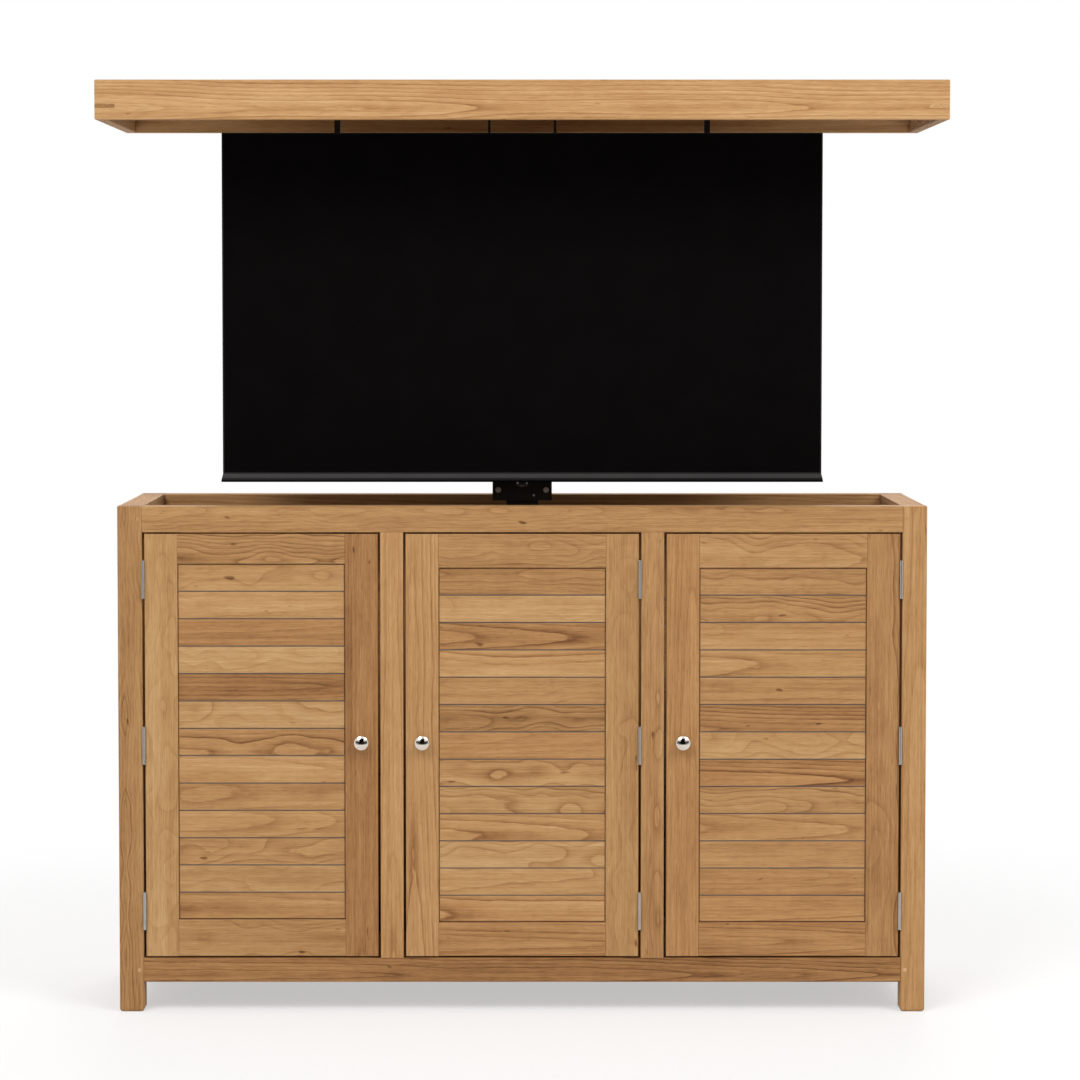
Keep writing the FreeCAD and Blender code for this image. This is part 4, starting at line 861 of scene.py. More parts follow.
class Body(Enum):
    """The moving bodies that new pieces ride on."""

    CABINET = "cabinet"
    LEFT_DOOR = "left_door"
    CENTRE_DOOR = "centre_door"
    RIGHT_DOOR = "right_door"
    CARRIAGE = "carriage"


class Hand(Enum):
    """The edge that a door hangs on, as the way along X to it."""

    LEFT = -1
    RIGHT = 1


class Fitting(Protocol):
    """A small part that is modelled once, with its seat at z = 0, and then copied."""

    def model(self, bench: "Bench") -> bpy.types.Object:
        """Models one of it, looking up, at the origin."""


def arc(centre: tuple[float, float], radius: float, start: float, end: float,
        steps: int) -> Profile:
    """Points along a round stretch of a profile.

    Args:
        centre: the arc's middle, as distance from the axis and height.
        radius: its radius.
        start: where it starts, in degrees, 0 straight outwards and 90 straight up.
        end: where it ends.
        steps: how many straight pieces it is made of.

    Returns:
        Its points, both ends included.
    """
    angles = [math.radians(start + (end - start) * step / steps) for step in range(steps + 1)]
    return [(centre[0] + radius * math.cos(angle), centre[1] + radius * math.sin(angle))
            for angle in angles]


def sized(shares: Profile, radius: float, height: float) -> Profile:
    """A profile given in shares of a radius and a height, in metres."""
    return [(wide * radius, high * height) for wide, high in shares]


def grid(across: tuple[float, ...], deep: tuple[float, ...],
         up: tuple[float, ...]) -> list[Point]:
    """Every place with one of these X, one of these Y and one of these Z."""
    return [(x, y, z) for x in across for y in deep for z in up]


class Bench:
    """Models pieces with Blender's own editing tools, as by hand."""

    def __init__(self, materials: Materials) -> None:
        """Starts with no pattern made."""
        self.materials = materials
        self.patterns: dict[Fitting, bpy.types.Object] = {}

    @staticmethod
    def clear() -> None:
        """Deselects everything, because an operator acts on all that is selected."""
        bpy.ops.object.select_all(action="DESELECT")

    def take(self, *pieces: bpy.types.Object) -> None:
        """Selects these pieces only and makes the first the active one.

        Args:
            pieces: what the next operator works on.
        """
        self.clear()
        for piece in pieces:
            piece.select_set(True)
        bpy.context.view_layer.objects.active = pieces[0]

    @staticmethod
    def apply_place() -> None:
        """Moves the selected pieces' place, turn and size into their meshes."""
        bpy.ops.object.transform_apply(location=True, rotation=True, scale=True)

    @staticmethod
    def extrude(step: Point) -> None:
        """Extrudes the selected faces."""
        bpy.ops.mesh.extrude_region_move(TRANSFORM_OT_translate={"value": step})

    @staticmethod
    def pick(piece: bpy.types.Object, wanted: Callable[[Vector, Vector], bool]) -> None:
        """Selects the faces that pass a test, in edit mode.

        Args:
            piece: the piece that is edited.
            wanted: the test, of a face's middle and its normal.
        """
        bpy.ops.mesh.select_mode(type="FACE")
        bpy.ops.mesh.select_all(action="DESELECT")
        mesh = bmesh.from_edit_mesh(piece.data)
        for face in mesh.faces:
            face.select_set(wanted(face.calc_center_median(), face.normal))
        bmesh.update_edit_mesh(piece.data)

    def close(self) -> None:
        """Turns the normals outwards, leaves edit mode and shades the rounds smooth."""
        bpy.ops.mesh.select_all(action="SELECT")
        bpy.ops.mesh.normals_make_consistent(inside=False)
        bpy.ops.object.mode_set(mode="OBJECT")
        self.apply_place()
        bpy.ops.object.shade_smooth_by_angle(angle=SMOOTH_ANGLE)

    def turn(self, sides: int, profile: Profile) -> bpy.types.Object:
        """Turns a closed piece about the Z axis.

        Args:
            sides: how many sides its rings have.
            profile: radius and height of each ring, from the back cap to the front one.

        Returns:
            The piece.
        """
        self.clear()
        radius, height = profile[0]
        bpy.ops.mesh.primitive_circle_add(vertices=sides, radius=radius, fill_type="NGON",
                                          location=(0.0, 0.0, height))
        bpy.ops.object.mode_set(mode="EDIT")
        for wide, high in profile[1:]:
            self.extrude((0.0, 0.0, high - height))
            share = wide / radius
            bpy.ops.transform.resize(value=(share, share, 1.0),
                                     center_override=(0.0, 0.0, high))
            radius, height = wide, high
        self.close()
        return bpy.context.object

    def shell(self, size: Point, ease: float, rim: float, sink: float) -> bpy.types.Object:
        """Makes a block on z = 0 with rounded edges and a sunk top.

        Args:
            size: along X, Y and Z.
            ease: radius of its edges.
            rim: width of the rim round the sunk part.
            sink: depth of the sunk part.

        Returns:
            The block.
        """
        self.clear()
        bpy.ops.mesh.primitive_cube_add(size=1.0, location=(0.0, 0.0, size[2] / 2), scale=size)
        piece = bpy.context.object
        self.apply_place()
        bpy.ops.object.mode_set(mode="EDIT")
        bpy.ops.mesh.bevel(offset=ease, segments=2)
        self.pick(piece, lambda middle, normal: normal.z > LEVEL_COSINE)
        bpy.ops.mesh.inset(thickness=rim)
        self.extrude((0.0, 0.0, -sink))
        self.close()
        return piece

    def cross(self, piece: bpy.types.Object, reach: float, sides: int, depth: float) -> None:
        """Sinks a cross into a turned piece's flat top.

        Args:
            piece: the piece; its last ring is the middle of the cross.
            reach: the radius that the cross's arms reach.
            sides: how many sides the piece has.
            depth: how deep the cross goes.
        """
        self.take(piece)
        top = max(vertex.co.z for vertex in piece.data.vertices)
        offset = math.pi / sides

        def in_cross(middle: Vector, normal: Vector) -> bool:
            """Tests for the middle of the top and for four of the wedges round it.

            Args:
                middle: a face's middle.
                normal: its normal.

            Returns:
                True for a face of the cross.
            """
            if abs(middle.z - top) > TINY or normal.z < LEVEL_COSINE:
                return False
            if middle.xy.length < TINY:
                return True
            turn = math.atan2(middle.y, middle.x) - offset
            return middle.xy.length < reach and math.cos(4 * turn) > CROSS_COSINE

        bpy.ops.object.mode_set(mode="EDIT")
        self.pick(piece, in_cross)
        self.extrude((0.0, 0.0, -depth))
        self.close()

    def join(self, parts: list[bpy.types.Object]) -> bpy.types.Object:
        """Joins pieces at the origin.

        Args:
            parts: the pieces, the one that takes the others in first.

        Returns:
            The joined piece.
        """
        self.take(*parts)
        if len(parts) > 1:
            bpy.ops.object.join()
        self.apply_place()
        return parts[0]

    def fit(self, name: str, fitting: Fitting, places: list[Point], facing: Facing,
            body: Body, look: Look) -> bpy.types.Object:
        """Copies a fitting to its places and joins the copies into one piece.

        Args:
            name: the piece's name.
            fitting: what is copied.
            places: where each copy's seat is.
            facing: which way their heads look.
            body: the body that carries them.
            look: their finish and its material's name.

        Returns:
            The piece.
        """
        if fitting not in self.patterns:
            self.patterns[fitting] = fitting.model(self)
        copies = []
        for place in places:
            self.take(self.patterns[fitting])
            bpy.ops.object.duplicate(linked=False)
            copy = bpy.context.object
            copy.location = place
            copy.rotation_euler = facing.value
            copies.append(copy)
        piece = self.join(copies)
        piece.name = name
        piece.data.name = name
        self.materials.dress(piece, look.name, look.finish)
        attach(piece, body.value)
        return piece

    def sweep(self) -> None:
        """Clears the patterns off the bench."""
        self.take(*self.patterns.values())
        bpy.ops.object.delete()


@dataclass(frozen=True)
class HexBolt:
    """A hexagon head, or nut, on its washer.

    Attributes:
        radius: from the middle to a corner.
        height: of the head, washer included.
        washer: the washer's radius.
        middle: radius of the socket in a head, or of the bolt's end in a nut.
        rise: how far the middle stands over the head, below 0 for a socket.
        washer_share: the washer's thickness as a share of the height.
        ease_share: how far the edges are eased, as a share of the radius.
        sides: how many sides the washer has.
    """

    radius: float
    height: float
    washer: float
    middle: float
    rise: float
    washer_share: float = 0.16
    ease_share: float = 0.10
    sides: int = 20

    def model(self, bench: Bench) -> bpy.types.Object:
        """Models the washer and the hexagon.

        Args:
            bench: where it is modelled.

        Returns:
            The bolt.
        """
        thick = self.washer_share * self.height
        ease = self.ease_share * self.radius
        washer = bench.turn(self.sides, [
            (self.washer, 0.0), (self.washer, thick - ease / 2),
            (self.washer - ease / 2, thick)])
        top = self.height
        head = bench.turn(6, [
            (self.radius, 0.0), (self.radius, top - ease), (self.radius - ease, top),
            (self.middle, top), (self.middle, top + self.rise)])
        return bench.join([washer, head])


@dataclass(frozen=True)
class CrossScrew:
    """A round head with a cross sunk in it.

    Attributes:
        radius: of the head.
        height: of the head.
        sides: how many sides its rings have, four for each step of the cross.
        rim: the height up to which it is straight, as a share of its height.
        brow: radius and height at which it rounds over, as shares of the head's.
        arm: the cross's reach as a share of the radius.
        core: radius of its middle as a share of the head's.
        depth: its depth as a share of the height.
    """

    radius: float
    height: float
    sides: int = 16
    rim: float = 0.30
    brow: tuple[float, float] = (0.84, 0.80)
    arm: float = 0.62
    core: float = 0.20
    depth: float = 0.75

    def model(self, bench: Bench) -> bpy.types.Object:
        """Models the head, then sinks the cross.

        Args:
            bench: where it is modelled.

        Returns:
            The screw's head.
        """
        head = bench.turn(self.sides, sized(
            [(1.0, 0.0), (1.0, self.rim), self.brow, (self.arm, 1.0), (self.core, 1.0)],
            self.radius, self.height))
        bench.cross(head, self.arm * self.radius, self.sides, self.depth * self.height)
        return head


@dataclass(frozen=True)
class Socket:
    """A raised shell with a sunk middle, as of a socket, a magnet or a tube's plug.

    Attributes:
        size: its width, its height and how far it stands up.
        rim: width of its rim.
        sink: depth of its middle.
    """

    size: Point
    rim: float
    sink: float

    def model(self, bench: Bench) -> bpy.types.Object:
        """Models the shell."""
        return bench.shell(self.size, min(self.size) / 4, self.rim, self.sink)


@dataclass(frozen=True)
class Jack:
    """A round socket: a flange, a short tube and its floor.

    Attributes:
        radius: of the tube.
        height: of the tube.
        sides: how many sides its rings have.
        flange: the flange's radius and thickness, as shares of the tube's size.
        root: height at which the tube leaves the flange, as a share.
        bore: the bore's radius and the height of its floor, as shares.
    """

    radius: float
    height: float
    sides: int = 20
    flange: tuple[float, float] = (1.25, 0.2)
    root: float = 0.25
    bore: tuple[float, float] = (0.75, 0.3)

    def model(self, bench: Bench) -> bpy.types.Object:
        """Models the flange, the tube and the floor in it.

        Args:
            bench: where it is modelled.

        Returns:
            The socket.
        """
        return bench.turn(self.sides, sized(
            [(self.flange[0], 0.0), self.flange, (1.0, self.root), (1.0, 1.0),
             (self.bore[0], 1.0), self.bore], self.radius, self.height))


@dataclass(frozen=True)
class Knob:
    """A turned mushroom knob with its stud through the door and its nut.

    Attributes:
        radius: of the head.
        reach: door face to the front of the head.
        neck: radius of the neck.
        base: radius of the foot on the door.
        foot_share: thickness of the foot as a share of its radius.
        lip_share: height of the foot's eased lip as a share of its thickness.
        flare: height over the foot at which it has narrowed to the neck.
        fillet: radius of the foot's hollow.
        round: radius of the head's rim.
        rim: depth of the head behind its crown.
        crown: rise of the crown.
        stud: the stud's radius.
        stub: how far the stud stands out of the nut.
        ease: length of the stud's tapered tip.
        tip_share: radius of that tip as a share of the stud's.
        through: thickness of the door.
        nut: the nut's radius and thickness.
        nut_share: what its eased edge leaves of both.
        sides: how many sides its rings have.
    """

    radius: float = 0.015
    reach: float = 0.026
    neck: float = 0.0055
    base: float = 0.0095
    foot_share: float = 1 / 6
    lip_share: float = 0.4
    flare: float = 0.005
    fillet: float = 0.003
    round: float = 0.0025
    rim: float = 0.0075
    crown: float = 0.0035
    stud: float = 0.0025
    stub: float = 0.003
    ease: float = 0.0005
    tip_share: float = 0.8
    through: float = 0.024
    nut: tuple[float, float] = (0.006, 0.004)
    nut_share: float = 0.9
    sides: int = 48

    def model(self, bench: Bench) -> bpy.types.Object:
        """Models the knob and its nut.

        Args:
            bench: where they are modelled.

        Returns:
            The knob.
        """
        corner = self.radius - self.round
        shoulder = self.reach - self.crown
        upper = shoulder - self.round
        lower = shoulder - self.rim + self.round
        rise = self.reach - upper
        dome = (corner ** 2 + rise ** 2 - self.round ** 2) / (2 * (rise - self.round))
        middle = self.reach - dome
        edge = math.degrees(math.atan2(upper - middle, corner))
        nut, thick = self.nut
        back = -self.through
        tip = back - thick - self.stub
        foot = self.foot_share * self.base
        lip = self.lip_share * foot
        # The dome starts four degrees past the rim's last point and stops short of the axis.
        body = bench.turn(self.sides, [
            (self.tip_share * self.stud, tip), (self.stud, tip + self.ease), (self.stud, 0.0),
            (self.base, 0.0), (self.base, foot - lip),
            *arc((self.base - lip, foot + self.fillet), self.fillet, -90.0, -180.0, 4),
            (self.neck, foot + self.flare), (self.neck, lower - self.round),
            *arc((corner, lower), self.round, -90.0, 0.0, 5),
            *arc((corner, upper), self.round, 0.0, edge, 4),
            *arc((0.0, middle), dome, edge + 4.0, 89.0, 8)])
        hexagon = bench.turn(6, [(self.nut_share * nut, back - thick),
                                 (nut, back - self.nut_share * thick), (nut, back)])
        return bench.join([body, hexagon])


@dataclass(frozen=True)
class CurvedLip:
    """A thin curved lip, spun about a point over it.

    Attributes:
        radius: of its curve.
        half_angle: how far it runs to each side, in degrees.
        section: its width and how far it stands up.
        steps: how many straight pieces its curve has.
    """

    radius: float
    half_angle: float
    section: tuple[float, float]
    steps: int = 16

    def model(self, bench: Bench) -> bpy.types.Object:
        """Models the lip lying on z = 0, its curve's centre at the origin.

        Args:
            bench: where it is modelled.

        Returns:
            The lip.
        """
        width, thick = self.section
        start = math.radians(-90.0 - self.half_angle)
        aim = Vector((math.cos(start), math.sin(start), 0.0))
        bench.clear()
        bpy.ops.mesh.primitive_plane_add(size=1.0, location=self.radius * aim)
        piece = bpy.context.object
        piece.scale = (width, thick, 1.0)
        piece.location.z = thick / 2
        piece.rotation_euler = (math.pi / 2, 0.0, start)
        bench.apply_place()
        bpy.ops.object.mode_set(mode="EDIT")
        bpy.ops.mesh.spin(steps=self.steps, angle=math.radians(2 * self.half_angle),
                          dupli=False, center=(0.0, 0.0, 0.0), axis=(0.0, 0.0, 1.0))
        bench.close()
        return piece


# ------------------------------------------------------------------ assemblies


@dataclass
class Assembly(ABC):
    """A part of the cabinet that is dressed and fitted out by itself.

    Attributes:
        nodes: the CAD nodes by name.
        bench: where its fittings are modelled.
    """

    nodes: dict[str, bpy.types.Object]
    bench: Bench

    @abstractmethod
    def dress(self) -> None:
        """Gives the assembly's nodes their finishes."""

    @abstractmethod
    def furnish(self) -> None:
        """Adds the assembly's fittings."""

    def build(self) -> None:
        """Dresses the assembly and then fits it out."""
        log.info("%s", type(self).__name__)
        self.dress()
        self.furnish()

    def clad(self, wood: dict[str, Teak]) -> None:
        """Gives wooden nodes their teak, each by its name."""
        for name, teak in wood.items():
            self.bench.materials.dress(self.nodes[name], f"teak_{name}", teak)

    def coat(self, look: Look, *names: str) -> None:
        """Gives the nodes of these names one finish."""
        for name in names:
            self.bench.materials.dress(self.nodes[name], look.name, look.finish)


@dataclass
class Hinges:
    """The three hinges of a door, with their leaves in the gap beside it.

    Attributes:
        box: the box of the door's own leaves and knuckles.
        hand: the edge of the door that they are on.
        leaf_gap: between a door's leaf and the frame's, the door shut.
        height: of one hinge.
        rows: each screw's height from its hinge's middle, and its distance from the
            leaf's rear edge.
        screw: the screw, its head let into the leaf.
    """

    box: Box
    hand: Hand
    leaf_gap: float = 0.001
    height: float = 0.076
    rows: tuple[tuple[float, float], ...] = ((-0.026, 0.013), (0.0, 0.006), (0.026, 0.013))
    screw: CrossScrew = CrossScrew(radius=0.0034, height=0.0003, sides=12)

    def fit(self, bench: Bench, name: str, body: Body) -> None:
        """Screws the leaves of the door, or of the cabinet, from the gap's side.

        Args:
            bench: where the screws are made.
            name: the piece's name.
            body: the body whose leaves they are.
        """
        low, high = self.box
        axis = (low.x + high.x) / 2
        way = self.hand.value if body is Body.CABINET else -self.hand.value
        facing = Facing.LEFT if way > 0 else Facing.RIGHT
        middles = (low.z + self.height / 2, (low.z + high.z) / 2, high.z - self.height / 2)
        places = [(axis + way * self.leaf_gap / 2, high.y - inward, middle + rise)
                  for middle in middles for rise, inward in self.rows]
        bench.fit(name, self.screw, places, facing, body, HINGE_LOOK)


@dataclass
class Cabinet(Assembly):
    """The leg frame with its slatted walls and its floor.

    Attributes:
        post: thickness of the posts and rails.
        mullion: width of the mullions.
        peg: thickness of the pegs.
        panel_height: bottom and top of the slatted walls.
        wall_slats: slats in each wall.
        slat: thickness of a slat.
        bays: bays between the posts.
        bay_pitch: width of a bay and one mullion.
        floor_boards: boards in the floor.
        floor_depth: the floor's share of the depth, for its boards' figures.
        bearers: bearers under the floor.
        bearer_pitch: between two bearers.
        floor_screw: a screw through the floor into a bearer.
        screw_aside: the middle of a floor board to its screws.
    """

    post: float = 0.049
    mullion: float = 0.046
    peg: float = 0.008
    panel_height: tuple[float, float] = (0.110, 0.971)
    wall_slats: int = 15
    slat: float = 0.012
    bays: int = 3
    bay_pitch: float = 0.524333
    floor_boards: int = 4
    floor_depth: float = 0.4
    bearers: int = 4
    bearer_pitch: float = 0.470
    floor_screw: CrossScrew = CrossScrew(radius=0.0038, height=0.0006, sides=12)
    screw_aside: float = 0.03

    def dress(self) -> None:
        """Gives the frame, the walls and the floor their teak, and the rest its finish."""
        self.clad(self._frame_teak())
        self.clad(self._wall_teak())
        self.clad(self._floor_teak())
        self.coat(HINGE_LOOK, "frame_hinge_leaves", "hinge_pins")
        self.coat(PLASTIC_LOOK, "door_catches")

    def furnish(self) -> None:
        """Screws down the floor, except under the control box."""
        low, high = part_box("floor_boards")
        near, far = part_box("lift_control_box")
        pitch = (high.y - low.y) / self.floor_boards
        across = [(number - (self.bearers - 1) / 2) * self.bearer_pitch
                  for number in range(self.bearers)]
        screws = [(x, low.y + (board + 0.5) * pitch + shift, high.z)
                  for x in across for board in range(self.floor_boards)
                  for shift in (-self.screw_aside, self.screw_aside)]
        screws = [(x, y, z) for x, y, z in screws
                  if not (near.x < x < far.x and near.y < y < far.y)]
        self.bench.fit("floor_screws", self.floor_screw, screws,
                       Facing.UP, Body.CABINET, ZINC_LOOK)

    def _frame_teak(self) -> dict[str, Teak]:
        """The cut of the posts, the rails and the mullions; two rails' tones hold painted
        shade and light.

        Returns:
            Each node's teak by its name.
        """
        pair, single = Boards.pair, Boards.single
        post, mullion = self.post, self.mullion
        return {
            "front_posts": Teak(Axis.Z, pair(Axis.X, "front_posts", post),
                                single(Axis.Y, "front_posts"),
                                seed=1.3, tone=0.02, spread=0.05),
            "rear_posts": Teak(Axis.Z, pair(Axis.X, "rear_posts", post),
                               single(Axis.Y, "rear_posts"), seed=2.1, spread=0.06),
            "front_top_rail": Teak(Axis.X, single(Axis.Z, "front_top_rail"),
                                   single(Axis.Y, "front_top_rail"),
                                   seed=3.2, tone=0.02, spread=0.0),
            # A darker tone: painted shade, the lower rail darker than the upper as light from
            # above gives.
            "front_bottom_rail": Teak(Axis.X, single(Axis.Z, "front_bottom_rail"),
                                      single(Axis.Y, "front_bottom_rail"),
                                      seed=4.7, tone=-0.10, spread=0.0),
            # A lighter tone: painted light on the rear rails' inner faces, which sit in shade.
            "rear_rails": Teak(Axis.X, pair(Axis.Z, "rear_rails", post),
                               single(Axis.Y, "rear_rails"), seed=5.4, tone=0.15),
            "side_rails": Teak(Axis.Y, pair(Axis.Z, "side_rails", post),
                               pair(Axis.X, "side_rails", post), seed=6.6),
            "front_mullions": Teak(Axis.Z, pair(Axis.X, "front_mullions", mullion),
                                   single(Axis.Y, "front_mullions"),
                                   seed=7.9, tone=0.09, spread=0.0, step=-0.09),
            "rear_mullions": Teak(Axis.Z, pair(Axis.X, "rear_mullions", mullion),
                                  single(Axis.Y, "rear_mullions"), seed=8.2),
        }

    def _wall_teak(self) -> dict[str, Teak]:
        """The cut of the walls' slats and of the pegs.

        Returns:
            Each node's teak by its name.
        """
        slats = Boards.row(Axis.Z, *self.panel_height, self.wall_slats)
        bay = Boards(Axis.X, -self.bays / 2 * self.bay_pitch, self.bay_pitch)
        return {
            "side_slats": Teak(Axis.Y, slats, Boards.pair(Axis.X, "side_slats", self.slat),
                               seed=9.5, seam=SEAM),
            "back_slats": Teak(Axis.X, slats, Boards.single(Axis.Y, "back_slats"),
                               seed=10.8, pieces=bay, seam=SEAM),
            "joint_pegs": Teak(Axis.Y, Boards.pair(Axis.Z, "joint_pegs", self.peg),
                               Boards.pair(Axis.X, "joint_pegs", self.peg),
                               seed=11.4, tone=0.18),
        }

    def _floor_teak(self) -> dict[str, Teak]:
        """The cut of the floor's boards and of their bearers.

        Returns:
            Each node's teak by its name.
        """
        half = self.floor_depth / 2
        bearers = Boards(Axis.X, -self.bearers / 2 * self.bearer_pitch, self.bearer_pitch)
        return {
            "floor_boards": Teak(Axis.X, Boards.row(Axis.Y, -half, half, self.floor_boards),
                                 Boards.single(Axis.Z, "floor_boards"), seed=12.6),
            "floor_bearers": Teak(Axis.Y, bearers, Boards.single(Axis.Z, "floor_bearers"),
                                  seed=13.3),
        }


@dataclass
class Door(Assembly):
    """One slatted door with its chrome knob.

    Attributes:
        body: the door's body, whose name its nodes' names start with.
        hand: the edge that it hangs on.
        panel_height: bottom and top of its slats.
        seeds: pick the figures of its stiles, its rails and its slats.
        tones: lightness of its left stile, its rails and its slats.
        step: how much lighter the right stile is than the left.
        stile: width of the stiles.
        heart: how far the stiles are from their log's heart.
        rail_spread: how much the rails differ in tone.
        contrasts: how strongly the rings show in the stiles and in the slats.
        slats: slats in the panel.
        knob: its knob.
        catch_from_lock: the door's lock edge to the middle of its catch.
        strike: the plate that the catch holds, let into the door's back.
        magnet: the catch's magnet, let into the catch.
        proud: how far the plate's and the magnet's faces stand out.
        strike_below_top: the door's upper edge to the middle of the plate.
    """

    body: Body
    hand: Hand
    panel_height: tuple[float, float]
    seeds: tuple[float, float, float]
    tones: tuple[float, float, float]
    step: float
    stile: float = 0.066
    heart: tuple[float, float] = (0.030, 0.085)
    rail_spread: float = 0.05
    contrasts: tuple[float, float] = (0.75, 1.15)
    slats: int = 13
    knob: Knob = Knob()
    catch_from_lock: float = 0.070
    strike: Socket = Socket(size=(0.040, 0.010, 0.001), rim=0.0030, sink=0.00005)
    magnet: Socket = Socket(size=(0.034, 0.008, 0.001), rim=0.0024, sink=0.00005)
    proud: float = 0.00012
    strike_below_top: float = 0.006

    def dress(self) -> None:
        """Gives the door its teak, its hinges' steel and its knob's chrome."""
        stiles, rails, slats, leaves, knob = (
            f"{self.body.value}_{part}"
            for part in ("stiles", "rails", "slats", "hinge_leaves", "knob"))
        self.clad({
            stiles: Teak(Axis.Z, Boards.pair(Axis.X, stiles, self.stile),
                         Boards.single(Axis.Y, stiles), seed=self.seeds[0],
                         tone=self.tones[0], spread=0.0, heart=self.heart,
                         contrast=self.contrasts[0], step=self.step),
            rails: Teak(Axis.X, Boards.pair(Axis.Z, rails, self.stile),
                        Boards.single(Axis.Y, rails), seed=self.seeds[1],
                        tone=self.tones[1], spread=self.rail_spread),
            slats: Teak(Axis.X, Boards.row(Axis.Z, *self.panel_height, self.slats),
                        Boards.single(Axis.Y, slats), seed=self.seeds[2],
                        tone=self.tones[2], contrast=self.contrasts[1], seam=SEAM),
        })
        self.coat(HINGE_LOOK, leaves)
        self.coat(CHROME_LOOK, knob)

    def furnish(self) -> None:
        """Fits the knob, the hinges' screws and the catch's magnet and plate."""
        name = self.body.value
        low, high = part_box(f"{name}_stiles")
        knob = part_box(f"{name}_knob")
        seat = ((knob[0].x + knob[1].x) / 2, low.y, (knob[0].z + knob[1].z) / 2)
        turned = self.bench.fit(f"{name}_turned_knob", self.knob, [seat], Facing.FRONT,
                                self.body, CHROME_LOOK)
        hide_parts(f"{name}_knob")
        hinges = Hinges(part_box(f"{name}_hinge_leaves"), self.hand)
        hinges.fit(self.bench, f"{name}_leaf_screws", self.body)
        hinges.fit(self.bench, f"{name}_frame_leaf_screws", Body.CABINET)
        lock = high.x if self.hand is Hand.LEFT else low.x
        middle = lock + self.hand.value * self.catch_from_lock
        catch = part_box("door_catches")
        inset = self.magnet.size[2] - self.proud
        self.bench.fit(f"{name}_magnet", self.magnet,
                       [(middle, catch[0].y + inset, (catch[0].z + catch[1].z) / 2)],
                       Facing.FRONT, Body.CABINET, ZINC_LOOK)
        self.bench.fit(f"{name}_strike", self.strike,
                       [(middle, high.y - inset, high.z - self.strike_below_top)],
                       Facing.BACK, self.body, ZINC_LOOK)


@dataclass
class Lid(Assembly):
    """The lid's mitred apron, its boards and its battens.

    Attributes:
        rail: thickness of the apron.
        key: length of a corner key.
        batten_share: each batten's share of the width.
        boards: boards across the top.
        screw: a screw through a batten into a board.
        screws_across: where the rows of screws run.
    """

    rail: float = 0.022
    key: float = 0.04
    batten_share: float = 0.35
    boards: int = 6
    screw: CrossScrew = CrossScrew(radius=0.0038, height=0.0006, sides=12)
    screws_across: tuple[float, ...] = (-0.700, -0.368, -0.080, 0.080, 0.368, 0.700)

    def dress(self) -> None:
        """Gives each node of the lid its teak."""
        pair, single = Boards.pair, Boards.single
        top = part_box("lid_top_boards")
        battens = Boards(Axis.X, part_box("lid_battens")[0].x, self.batten_share)
        self.clad({
            "lid_long_rails": Teak(Axis.X, single(Axis.Z, "lid_long_rails"),
                                   pair(Axis.Y, "lid_long_rails", self.rail),
                                   seed=21.4, tone=0.16, spread=0.03, heart=(0.02, 0.03),
                                   taper=0.012, wander=0.05),
            # A lighter tone: partly to match the long rails, partly painted light on the
            # shaded inner faces.
            "lid_side_rails": Teak(Axis.Y, single(Axis.Z, "lid_side_rails"),
                                   pair(Axis.X, "lid_side_rails", self.rail),
                                   seed=22.5, tone=0.12),
            "lid_top_boards": Teak(Axis.X, Boards.row(Axis.Y, top[0].y, top[1].y, self.boards),
                                   single(Axis.Z, "lid_top_boards"), seed=23.9, tone=0.04),
            "lid_battens": Teak(Axis.Y, battens, single(Axis.Z, "lid_battens"), seed=24.6),
            "lid_corner_keys": Teak(Axis.Y, pair(Axis.X, "lid_corner_keys", self.key),
                                    single(Axis.Z, "lid_corner_keys"),
                                    seed=25.1, tone=-0.14, spread=0.0, step=0.32,
                                    pieces=pair(Axis.Y, "lid_corner_keys", self.key)),
        })

    def furnish(self) -> None:
        """Screws the battens to the boards."""
        low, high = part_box("lid_top_boards")
        pitch = (high.y - low.y) / self.boards
        rows = tuple(low.y + (board + 0.5) * pitch for board in range(self.boards))
        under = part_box("lid_battens")[0].z
        self.bench.fit("batten_screws", self.screw, grid(self.screws_across, rows, (under,)),
                       Facing.DOWN, Body.CARRIAGE, ZINC_LOOK)


